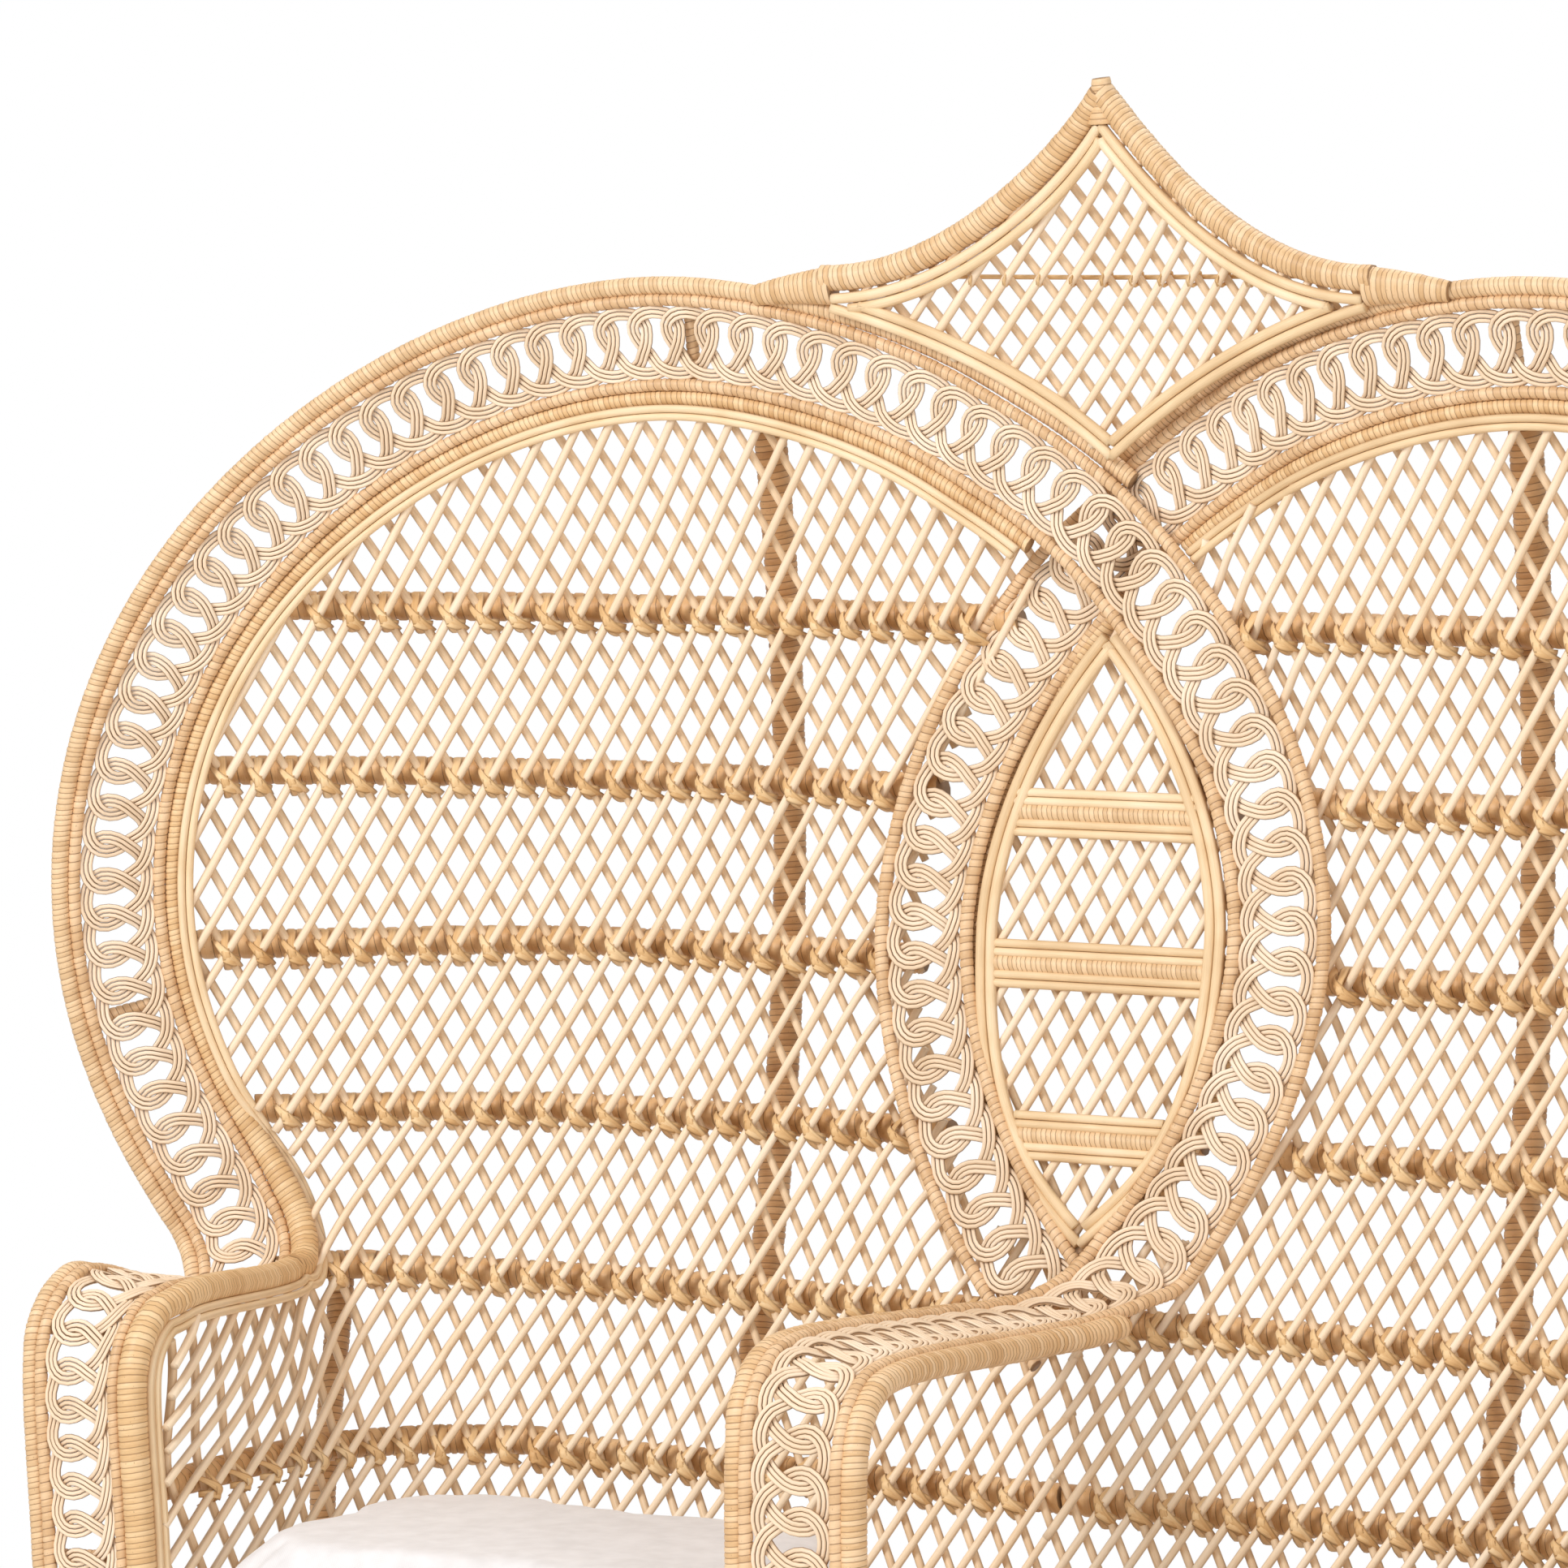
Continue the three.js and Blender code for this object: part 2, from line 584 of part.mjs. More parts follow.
const almondEdge = BINDING_AT + BINDING_R + BEND_ROOM + FIT_GAP + ALMOND_R;
const almondOutline = almond(almondEdge);
add("almond_lattice", panel(almondOutline, onMiddle, middleNormal, ALMOND_R, STICK_STEP, 2), core);
const almondTrim = almond(almondEdge + ALMOND_R + 3 + MOULDING_WIDE / 2);
const almondTrimLift = STICK_LIFT + STICK_R + FLAT_ROOM + MOULDING_THICK / 2;
const almondTrimPoints = almondTrim.map(([x, z]) => onMiddle(x, z, almondTrimLift));
const almondTrimNormals = almondTrim.map(([x, z]) => middleNormal(x, z));
const trimProfile = flat(MOULDING_WIDE, MOULDING_THICK);
add("almond_moulding", sweep(almondTrimPoints, almondTrimNormals, trimProfile, true), core);
BAR_HEIGHTS.forEach((z, i) => {
  const reach = Math.min(...[-1, 0, 1].map((edge) => span(almondOutline, z + (edge * BAR_TALL) / 2)[1]));
  const half = reach - FRAME_R - MOULDING_WIDE - 7;
  const ends = [-half, half];
  const lift = STICK_LIFT + STICK_R + FLAT_ROOM + BAR_THICK / 2;
  const bar = flat(BAR_TALL, BAR_THICK);
  const normals = [middleNormal(0, z), middleNormal(0, z)];
  add(`almond_bar_${i + 1}`, sweep(ends.map((x) => onMiddle(x, z, lift)), normals, bar), core);
  const railLift = -(ALMOND_R + FIT_GAP + RAIL_R * HEX_HEIGHT);
  const railEnds = span(almondOutline, z).map((x) => onMiddle(x, z, railLift));
  const rail = sweep(railEnds, normals, round(RAIL_R, 6));
  add(`almond_rail_${i + 1}`, rail, peel);
});

// Crown: hollow-sided point between the round backs
const crownUpper = spread(0, 1, 7).map((t) => {
  const x = CROWN_BASE_X * (1 - t);
  return [x - 10, CROWN_BASE_Z + CROWN_RISE * (CROWN_BASE_X - x) ** 2];
});
const crownLower = spread(95 * deg, 140 * deg, 12)
  .map((a) => lobe(a, CLEAR_OF_BORDER + 1))
  .filter(([x]) => x > 6 && x < CROWN_BASE_X - 26);
const crownHalf = [...crownLower.reverse(), ...crownUpper.filter(([x]) => x > 4)];
const crownTop = [0, CROWN_BASE_Z + CROWN_RISE * CROWN_BASE_X ** 2];
const crownOutline = [...crownHalf, crownTop, ...crownHalf.map(([x, z]) => [-x, z]).reverse()];

// The sheets of both sides together, mirrored about the mid-plane
function onBack(x, z, lift) {
  const p = onSheet(Math.abs(x), z, lift);
  return p.setX(x < 0 ? -p.x : p.x);
}

function backNormal(x, z) {
  const n = sheetNormal(Math.abs(x), z);
  return n.setX(x < 0 ? -n.x : n.x);
}

add("crown_lattice", panel(crownOutline, onBack, backNormal, CROWN_RIM_R, STICK_STEP, 3), peel);

const crownMoulding = crownOutline.map(([x, z]) => {
  const middle = [0, CROWN_BASE_Z + 12];
  const size = Math.hypot(x - middle[0], z - middle[1]);
  const inward = CROWN_RIM_R + 2 + MOULDING_WIDE / 2;
  return [x - ((x - middle[0]) / size) * inward * 1.25, z - ((z - middle[1]) / size) * inward * 1.25];
});
const crownTrim = crownMoulding.map(([x, z]) => onBack(x, z, TRIM_LIFT - FLAT_ROOM));
const crownNormals = crownMoulding.map(([x, z]) => backNormal(x, z));
add("crown_moulding", sweep(crownTrim, crownNormals, flat(MOULDING_WIDE, MOULDING_THICK), true), core);
const caneReach = span(crownOutline, CANE_Z)[1] - CROWN_RIM_R - 5;
const caneX = spread(-caneReach, caneReach, 6);
const canePoints = caneX.map((x) => onBack(x, CANE_Z, -STICK_LIFT - STICK_R - BEND_ROOM - CANE_R));
add("crown_cane", sweep(canePoints, caneX.map(() => FORWARD), round(CANE_R, 4)), core);

for (const name of ["left", "right"]) {
  const side = name === "left" ? -1 : 1;
  const tip = onSheet(CROWN_BASE_X - 10, CROWN_BASE_Z, 0);
  const run = tip.clone().sub(rimEnds[name]).normalize();
  const ends = [rimEnds[name].clone().addScaledVector(run, 1.5), tip.addScaledVector(run, 1.5 - CROWN_RIM_R)];
  for (const end of ends) end.z += JOINT_RISE;
  const joint = sweep(mirrored(ends, side), [UP, UP], round(RIM_R + JOINT_WRAP, 6));
  add(`${name}_crown_joint`, joint, peel);
}

// Panels under the arms: flat lattices between the arm rail, the seat and the two posts
function armPanel(from, to) {
  const run = to.clone().sub(from);
  const length = run.length();
  const along = run.clone().normalize();
  const facing = along.clone().cross(UP).negate();
  const place = (a, b, lift) => from.clone().addScaledVector(along, a).setZ(b).addScaledVector(facing, lift);
  const low = DECK_Z + HOOP_R + FIT_GAP;
  const high = ARM_Z - FRAME_R - HOOP_R - 1;
  const outline = [[0, low], [length, low], [length, high - 26], [length - 26, high], [0, high]];
  return panel(outline, place, () => facing, HOOP_R, 96, 1);
}

for (const side of [-1, 1]) {
  const name = side < 0 ? "left" : "right";
  const back = V(FRONT_X - 6, sheetY(FOOT_X - 10, ARM_Z - 140) - FRAME_R - HOOP_R - 5, 0);
  const front = V(FRONT_X - FRAME_AT, SIDE_FRONT_Y + FRAME_R + HOOP_R + 1, 0);
  add(`${name}_arm_lattice`, reflect(armPanel(back, front), side), core);
}

// Seat ring, floor ring and the waisted lattice between them
function ringPoint(rx, ry, turn) {
  const c = Math.cos(turn);
  const s = Math.sin(turn);
  const size = (Math.abs(c) ** 5 + Math.abs(s) ** 5) ** -0.2;
  return [rx * size * c, SEAT_MID_Y + ry * size * s];
}

function evenRing(rx, ry, count) {
  const fine = spread(0, 2 * Math.PI, 720).map((turn) => ringPoint(rx, ry, turn));
  const lengths = [0];
  for (let i = 1; i < fine.length; i++) {
    lengths.push(lengths[i - 1] + Math.hypot(fine[i][0] - fine[i - 1][0], fine[i][1] - fine[i - 1][1]));
  }
  const total = lengths[lengths.length - 1];
  return Array.from({ length: count }, (_, i) => fine[lengths.findIndex((d) => d >= (total * i) / count)]);
}

// Each ring is a front run, a back run and two bent ends, scarfed with a small gap
const RING_COUNT = 2 * BASE_STICKS;
const RING_HALF = 2 * Math.floor(BASE_STICKS / 2);
const RING_END = 2 * Math.round(BASE_STICKS / 9);
const RING_RUNS = {
  right: [RING_COUNT - RING_END, RING_COUNT + RING_END],
  back: [RING_END, RING_HALF - RING_END],
  left: [RING_HALF - RING_END, RING_HALF + RING_END],
  front: [RING_HALF + RING_END, RING_COUNT - RING_END],
};
const SCARF = 0.6;
const seatRing = evenRing(SEAT_RX, SEAT_RY, RING_COUNT);
const floorRing = evenRing(FLOOR_RX, FLOOR_RY, RING_COUNT);
const seatPoints = seatRing.map(([x, y]) => V(x, y, SEAT_RING_Z));
const floorPoints = floorRing.map(([x, y]) => V(x, y, FLOOR_BAND / 2));

function ringRun(points, [from, to], profile) {
  const run = [];
  for (let i = from; i <= to; i++) run.push(points[i % points.length].clone());
  const last = run.length - 1;
  run[0].lerp(run[1], SCARF / run[0].distanceTo(run[1]));
  run[last].lerp(run[last - 1], SCARF / run[last].distanceTo(run[last - 1]));
  return sweep(run, run.map(() => UP), profile);
}

function runOf(index) {
  const at = (index + RING_COUNT) % RING_COUNT;
  const again = at + RING_COUNT;
  const holds = ([from, to]) => (at > from && at < to) || (again > from && again < to);
  return Object.keys(RING_RUNS).find((name) => holds(RING_RUNS[name]));
}

const seatBody = {};
const floorBody = {};
for (const [name, run] of Object.entries(RING_RUNS)) {
  seatBody[name] = [ringRun(seatPoints, run, round(SEAT_RING_R, 6))];
  floorBody[name] = [ringRun(floorPoints, run, flat(FLOOR_BAND, FLOOR_BAND))];
}

// A stick of the base from one ring to the other, bent once at half height to follow the rounded ends
function baseStick(index, twist, shift, fromZ, toZ) {
  const points = [];
  const normals = [];
  for (const part of [0, 0.5, 1]) {
    const z = fromZ + (toZ - fromZ) * part;
    const mix = (z - FLOOR_BAND / 2) / (SEAT_RING_Z - FLOOR_BAND / 2);
    const slot = (index + twist * part + RING_COUNT) % RING_COUNT;
    const [lowX, lowY] = floorRing[slot];
    const [highX, highY] = seatRing[slot];
    const p = V(lowX + (highX - lowX) * mix, lowY + (highY - lowY) * mix, z);
    const out = V((p.x / SEAT_RX) ** 5, ((p.y - SEAT_MID_Y) / SEAT_RY) ** 5, 0).normalize();
    points.push(p.addScaledVector(out, shift));
    normals.push(out);
  }
  return sweep(points, normals, round(STICK_R, 3));
}

for (let i = 0; i < BASE_STICKS; i++) {
  const short = SEAT_RING_R * HEX_HEIGHT + 0.4 * STICK_R + FIT_GAP;
  const lower = baseStick(2 * i + 1, BASE_TWIST, BASE_LIFT, FLOOR_BAND / 2, SEAT_RING_Z - short);
  const upper = baseStick(2 * i + 1, -BASE_TWIST, -BASE_LIFT, FLOOR_BAND + 4, SEAT_RING_Z);
  floorBody[runOf(2 * i + 1)].push(lower);
  seatBody[runOf(2 * i + 1 - BASE_TWIST)].push(upper);
}
for (const name of Object.keys(RING_RUNS)) {
  add(`seat_ring_${name}`, joined(seatBody[name]), peel);
  add(`floor_ring_${name}`, joined(floorBody[name]), peel);
}
for (const side of [-1, 1]) {
  const name = side < 0 ? "left" : "right";
  const feet = [[SEAT_RX - 166, 110 - SEAT_RY], [SEAT_RX - 166, SEAT_RY / 2], [CENTRE_ROOM + 34, 10]];
  feet.forEach(([x, y], i) => {
    const ends = [V(side * x, SEAT_MID_Y + y, 0), V(side * x, SEAT_MID_Y + y, DECK_Z - FIT_GAP)];
    add(`${name}_leg_${i + 1}`, sweep(ends, [FORWARD, FORWARD], round(LEG_R, 6)), peel);
  });
}

// Seat decks and loose cushions
function seatOutline(halfX, halfY, squareness, count) {
  return spread(0, 2 * Math.PI, count).slice(0, -1).map((turn) => {
    const c = Math.cos(turn);
    const s = Math.sin(turn);
    const size = (Math.abs(c) ** squareness + Math.abs(s) ** squareness) ** (-1 / squareness);
    return [halfX * size * c, halfY * size * s];
  });
}

function stack(outline, layers, x, y) {
  const points = [];
  const faces = [];
  const count = outline.length;
  for (const [share, z] of layers) {
    for (const [a, b] of outline) points.push(V(x + a * share, y + b * share, z));
  }
  for (let i = 0; i + 1 < layers.length; i++) {
    for (let j = 0; j < count; j++) {
      const k = (j + 1) % count;
      const [here, there] = [i * count, (i + 1) * count];
      faces.push([here + j, here + k, there + k], [here + j, there + k, there + j]);
    }
  }
  const [bottom, top] = [points.length, points.length + 1];
  points.push(V(x, y, layers[0][1]), V(x, y, layers[layers.length - 1][1] + layers[layers.length - 1][2]));
  const end = (layers.length - 1) * count;
  for (let j = 0; j < count; j++) {
    const k = (j + 1) % count;
    faces.push([bottom, k, j], [top, end + j, end + k]);
  }
  return skin(points, faces);
}

const deckOutline = seatOutline(CUSHION_HALF_X + 2, CUSHION_HALF_Y + 3, 5, 20);
const cushionOutline = seatOutline(CUSHION_HALF_X, CUSHION_HALF_Y, 4, 28);
const cushionZ = DECK_Z + DECK_THICK + FIT_GAP;
const CUSHION_LAYERS = [
  [0.9, 0], [0.965, 0.09], [0.995, 0.27], [1, 0.42], [0.99, 0.56],
  [0.95, 0.7], [0.86, 0.82], [0.7, 0.91], [0.42, 0.98],
];
for (const side of [-1, 1]) {
  const name = side < 0 ? "left" : "right";
  const deckLayers = [[1, DECK_Z], [1, DECK_Z + DECK_THICK, 0]];
  const deck = stack(deckOutline, deckLayers, side * CUSHION_X, SEAT_MID_Y - 4);
  add(`${name}_seat_deck`, deck, core);
  const crest = 0.02 * CUSHION_THICK;
  const layers = CUSHION_LAYERS.map(([share, rise]) => [share, cushionZ + rise * CUSHION_THICK, crest]);
  add(`${name}_cushion`, stack(cushionOutline, layers, side * CUSHION_X, SEAT_MID_Y), cloth);
}

export default group;
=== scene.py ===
# Two-seat peacock chair in rattan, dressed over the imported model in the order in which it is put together.
# Lengths are written in millimetres and go into the meshes in metres.
import math

import bpy
import numpy as np
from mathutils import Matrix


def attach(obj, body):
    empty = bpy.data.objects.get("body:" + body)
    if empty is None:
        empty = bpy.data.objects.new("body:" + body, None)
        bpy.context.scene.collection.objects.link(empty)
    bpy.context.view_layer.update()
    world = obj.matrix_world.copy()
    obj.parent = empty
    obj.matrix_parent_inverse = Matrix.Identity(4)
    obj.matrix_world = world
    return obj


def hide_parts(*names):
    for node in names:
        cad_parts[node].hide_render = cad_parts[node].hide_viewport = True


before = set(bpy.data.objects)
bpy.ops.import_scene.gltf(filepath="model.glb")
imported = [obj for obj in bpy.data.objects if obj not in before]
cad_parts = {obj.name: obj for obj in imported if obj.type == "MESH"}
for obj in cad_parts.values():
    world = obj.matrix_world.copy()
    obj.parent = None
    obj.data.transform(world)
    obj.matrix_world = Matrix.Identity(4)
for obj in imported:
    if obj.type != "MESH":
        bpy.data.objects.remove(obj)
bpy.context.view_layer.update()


# Studio: a white surround, a pale floor that fades into it, and broad soft lamps in front and above.
# The camera stands to the chair's right, a little above the round backs, with a long lens.
def linear(code):
    shares = [int(code[i:i + 2], 16) / 255 for i in (1, 3, 5)]
    return (*[s / 12.92 if s <= 0.04045 else ((s + 0.055) / 1.055) ** 2.4 for s in shares], 1.0)


def node(tree, kind, inputs=None, **settings):
    made = tree.nodes.new(kind)
    for name, value in settings.items():
        setattr(made, name, value)
    for key, value in (inputs or {}).items():
        if isinstance(value, bpy.types.NodeSocket):
            tree.links.new(value, made.inputs[key])
        else:
            made.inputs[key].default_value = value
    return made


def empty_tree(owner):
    owner.use_nodes = True
    owner.node_tree.nodes.clear()
    return owner.node_tree


SURROUND_LIGHT = 0.5
surround = bpy.data.worlds.new("white_surround")
bpy.context.scene.world = surround
tree = empty_tree(surround)
rays = node(tree, "ShaderNodeLightPath")
ambient = node(tree, "ShaderNodeBackground", {"Color": linear("#ffffff"), "Strength": SURROUND_LIGHT})
seen = node(tree, "ShaderNodeBackground", {"Color": linear("#ffffff"), "Strength": 1.0})
mixed = node(tree, "ShaderNodeMixShader", {
    0: rays.outputs["Is Camera Ray"], 1: ambient.outputs[0], 2: seen.outputs[0]})
node(tree, "ShaderNodeOutputWorld", {"Surface": mixed.outputs[0]})
bpy.context.scene.view_settings.view_transform = "Standard"


def lamp(name, place, aim, size, watts):
    light = bpy.data.lights.new(name, "AREA")
    light.size = size
    light.energy = watts
    holder = bpy.data.objects.new(name, light)
    bpy.context.scene.collection.objects.link(holder)
    holder.location = place
    reach = np.array(aim) - np.array(place)
    flat = math.hypot(reach[0], reach[1])
    holder.rotation_euler = (math.atan2(flat, -reach[2]), 0, math.atan2(-reach[0], reach[1]))


lamp("key_softbox", (-1.3, -3.4, 3.1), (0, 0, 0.9), 1.8, 116)
lamp("fill_softbox", (3.2, -2.4, 2.0), (0, 0, 0.8), 2.2, 44)
lamp("top_softbox", (0.2, 1.4, 3.6), (0, 0, 0.9), 2.0, 36)

CAMERA_LENS = 161.23
CAMERA_PLACE = (2.3906, -4.3998, 1.3777)
CAMERA_DOWN = 4.113
CAMERA_ROUND = 30.0
lens = bpy.data.cameras.new("camera")
lens.sensor_width = 36.0
lens.lens = CAMERA_LENS
camera = bpy.data.objects.new("camera", lens)
bpy.context.scene.collection.objects.link(camera)
camera.location = CAMERA_PLACE
camera.rotation_euler = (math.radians(90 - CAMERA_DOWN), 0, math.radians(CAMERA_ROUND))
bpy.context.scene.camera = camera

FLOOR_NEAR = 0.7
FLOOR_CLEAR = 1.3
FLOOR_END = 2.1
FLOOR_POINTS = 96


# Four-sided faces between one ring of points and the next
def band(first, count):
    pairs = [(i, (i + 1) % count) for i in range(count)]
    return [(first + i, first + j, first + count + j, first + count + i) for i, j in pairs]


floor_turns = np.linspace(0, 2 * np.pi, FLOOR_POINTS, endpoint=False)
floor_points = [(0, 0, 0)]
for reach in (FLOOR_NEAR, FLOOR_CLEAR, FLOOR_END):
    floor_points += [(reach * math.cos(a), reach * math.sin(a), 0) for a in floor_turns]
floor_faces = [(0, 1 + i, 1 + (i + 1) % FLOOR_POINTS) for i in range(FLOOR_POINTS)]
for ring in (0, 1):
    floor_faces += [face[::-1] for face in band(1 + FLOOR_POINTS * ring, FLOOR_POINTS)]
floor_mesh = bpy.data.meshes.new("studio_floor")
floor_mesh.from_pydata(floor_points, [], floor_faces)
floor = bpy.data.objects.new("studio_floor", floor_mesh)
bpy.context.scene.collection.objects.link(floor)
# Matt white vinyl: keeps the chair's soft shadow near the legs and turns into the white surround further out
paint = bpy.data.materials.new("matt_white_vinyl")
tree = empty_tree(paint)
place = node(tree, "ShaderNodeTexCoord")
far = node(tree, "ShaderNodeVectorMath", {0: place.outputs["Object"]}, operation="LENGTH")
fade = node(tree, "ShaderNodeMapRange", {
    "Value": far.outputs["Value"], "From Min": FLOOR_CLEAR, "From Max": FLOOR_END},
    interpolation_type="SMOOTHSTEP")
rays = node(tree, "ShaderNodeLightPath")
share = node(tree, "ShaderNodeMath", {
    0: fade.outputs[0], 1: rays.outputs["Is Camera Ray"]}, operation="MULTIPLY")
matt = node(tree, "ShaderNodeBsdfPrincipled", {"Base Color": linear("#f3f1ee"), "Roughness": 0.7})
glow = node(tree, "ShaderNodeEmission", {"Color": linear("#ffffff"), "Strength": 1.0})
mixed = node(tree, "ShaderNodeMixShader", {0: share.outputs[0], 1: matt.outputs[0], 2: glow.outputs[0]})
node(tree, "ShaderNodeOutputMaterial", {"Surface": mixed.outputs[0]})
floor_mesh.materials.append(paint)


# Outer rims: thick rattan poles bent round each back and down the side arm, and wound with peel strips.
# The routes of both borders are set here: a sheet that bows forward, and a looped ribbon drawn on it.
SIDES = {"left": -1, "right": 1}
MIRRORS = {name: np.array([side, 1, 1]) for name, side in SIDES.items()}
LOBE_X = 353.0
LOBE_Z = 893.0
LOBE_OUT = 413.0
LOBE_IN = 501.0
LOBE_POWER = 1.85
LOBE_TALL = 437.0
LOBE_SWELL = 17.0
SWELL_OVER = (-60.0, -5.0)
ROUND_FROM = -29.0
LEADING_TO = 214.0
OTHER_TO = 224.0
ROUND_STATIONS = 41
BACK_Y = 222.8
# Bow of the sheet by height: its depth through each back and between them, and its curve to the side
BOW_Z = 880.0
BOW_TALL = 500.0
BOW_LOWEST = -0.95
LOBE_BOW = (0.0, 25.0, -80.0, 2.0)
MIDDLE_BOW = (-15.0, 54.0, -41.0)
SIDE_CURVE = 0.00177
SIDE_CURVE_RISE = 0.32
# Side arm: the foot, the middle and the top of its front, then its root at the back
ARM_X = (627.0, 633.0, 639.0)
ARM_Z = 620.0
ARM_FRONT_RISE = 11.0
ARM_ROLL = 0.17
ARM_BEND = 62.0
ROOT_X = 678.0
ROOT_OUT = 30.0
ARM_ROOT_DROP = 18.0
ROOT_ROLL = 0.3
ROOT_TURN = 0.45
ROOT_BEND = 34.0
SEAT_Z = 340.9
SIDE_FRONT_Y = BACK_Y - 420
CENTRE_FRONT_Y = BACK_Y - 470
# The leading border turns from the back to the centre arm: x, way ahead of the sheet, rise over the arm,
# and facing
CENTRE_ROOT = (((-38, 26, 17), (0.08, -0.7, 0.7)),
               ((-20, 72, 5), (-0.05, -0.15, 0.98)),
               ((-6, 140, 5), (-0.12, 0, 1)))
CENTRE_WIDER = 0.1
WIDEN_OVER = (-60.0, 120.0)
# Under the crown the leading border passes over the other one
CROSS_LIFT = 9.6
CROSS_REACH = 200.0
CROSS_EASE = 90.0
ROUTE_STEP = 4.0
RIM_AT = 43.6
RIM_R = 6.9
RIM_STRIP = 4.2
RIM_LIFT = -7.0
RIM_LIFT_MORE = 5.0
RIM_EASE = (60.0, 330.0)
RIM_END_X = 8.0
chance = np.random.default_rng(11)


def bow_height(z):
    return np.maximum((z - BOW_Z) / BOW_TALL, BOW_LOWEST)


def side_curve(z):
    return SIDE_CURVE * (1 + SIDE_CURVE_RISE * bow_height(z))


def sheet_depth(x, z):
    lobe_y = np.polynomial.polynomial.polyval(bow_height(z), LOBE_BOW)
    middle_y = np.polynomial.polynomial.polyval(bow_height(z), MIDDLE_BOW)
    out = np.maximum(x, 0) - LOBE_X
    inner = lobe_y + (middle_y - lobe_y) * (out / LOBE_X) ** 2
    outer = lobe_y - 0.5 * side_curve(z) * out ** 2
    return BACK_Y + np.where(out < 0, inner, outer)


def unit(rows):
    return rows / np.linalg.norm(rows, axis=-1, keepdims=True)


def sheet_facing(x, z):
    tilt_x = (sheet_depth(x + 2, z) - sheet_depth(x - 2, z)) / 4
    tilt_z = (sheet_depth(x, z + 2) - sheet_depth(x, z - 2)) / 4
    return unit(np.stack([tilt_x, -np.ones_like(tilt_x), tilt_z], -1))


def on_sheet(x, z, lift=0.0):
    x, z = np.broadcast_arrays(np.asarray(x, float), np.asarray(z, float))
    return np.stack([x, sheet_depth(x, z), z], -1) + sheet_facing(x, z) * np.asarray(lift)[..., None]


def ease(value, low, high):
    share = np.clip((value - low) / (high - low), 0, 1)
    return share * share * (3 - 2 * share)


def round_back(angle, outward=0.0):
    angle = np.asarray(angle, float)
    full = LOBE_SWELL * ease(angle, *np.radians(SWELL_OVER))
    wide = np.where(np.cos(angle) > 0, LOBE_OUT + full, LOBE_IN)
    power = np.where(np.cos(angle) > 0, 2.0, LOBE_POWER)
    right = np.sign(np.cos(angle)) * np.abs(np.cos(angle)) ** (2 / power)
    high = np.sign(np.sin(angle)) * np.abs(np.sin(angle)) ** (2 / power)
    across = np.sign(right) * np.abs(right) ** (power - 1) / wide
    up = np.sign(high) * np.abs(high) ** (power - 1) / LOBE_TALL
    size = np.hypot(across, up)
    return LOBE_X + wide * right + outward * across / size, LOBE_Z + LOBE_TALL * high + outward * up / size


def border_stations(leading):
    places, facings = [], []

    def put(place, facing):
        places.append(place)
        facings.append(facing)

    quarter = np.radians([0, 30, 60, 90])
    foot_x, half_x, top_x = ARM_X
    half_z = (SEAT_Z + ARM_Z - ARM_BEND) / 2
    front_z = ARM_Z + ARM_FRONT_RISE - ARM_BEND
    put((foot_x, SIDE_FRONT_Y, SEAT_Z), (0, -1, 0))
    put((half_x, SIDE_FRONT_Y, half_z), (0, -1, 0))
    for a in quarter:
        c, s = math.cos(a), math.sin(a)
        put((top_x, SIDE_FRONT_Y + ARM_BEND - ARM_BEND * c, front_z + ARM_BEND * s), (-ARM_ROLL * s, -c, s))
    root_y = float(sheet_depth(ROOT_X + ROOT_OUT, ARM_Z + ROOT_BEND)) - ROOT_BEND
    for i, a in enumerate(quarter):
        c, s = math.cos(a), math.sin(a)
        x = ROOT_X + ROOT_OUT * (i / 3) ** 2
        z = ARM_Z + ROOT_BEND - (ROOT_BEND + ARM_ROOT_DROP) * c
        put((x, root_y + ROOT_BEND * s, z), (ROOT_ROLL * c - ROOT_TURN * s, -s, c))
    crossing = math.acos(-(LOBE_X / LOBE_IN) ** (LOBE_POWER / 2))
    over = CROSS_LIFT if leading else -CROSS_LIFT
    last = LEADING_TO if leading else OTHER_TO
    for angle in np.radians(np.linspace(ROUND_FROM, last, ROUND_STATIONS)):
        x, z = round_back(angle)
        away = abs(angle - crossing) * LOBE_IN
        put(on_sheet(x, z, over * ease(CROSS_REACH - away, 0, CROSS_EASE)), sheet_facing(x, z))
    if leading:
        wall_y = float(sheet_depth(0.0, ARM_Z))
        for (x, ahead, up), facing in CENTRE_ROOT:
            put((x, wall_y - ahead, ARM_Z + up), facing)
        for a in quarter:
            c, s = math.cos(a), math.sin(a)
            put((0, CENTRE_FRONT_Y + ARM_BEND - ARM_BEND * s, front_z + ARM_BEND * c), (-ARM_ROLL * c, -s, c))
        put((0, CENTRE_FRONT_Y, half_z), (0, -1, 0))
        put((0, CENTRE_FRONT_Y, SEAT_Z), (0, -1, 0))
    return np.array(places, float), unit(np.array(facings, float))


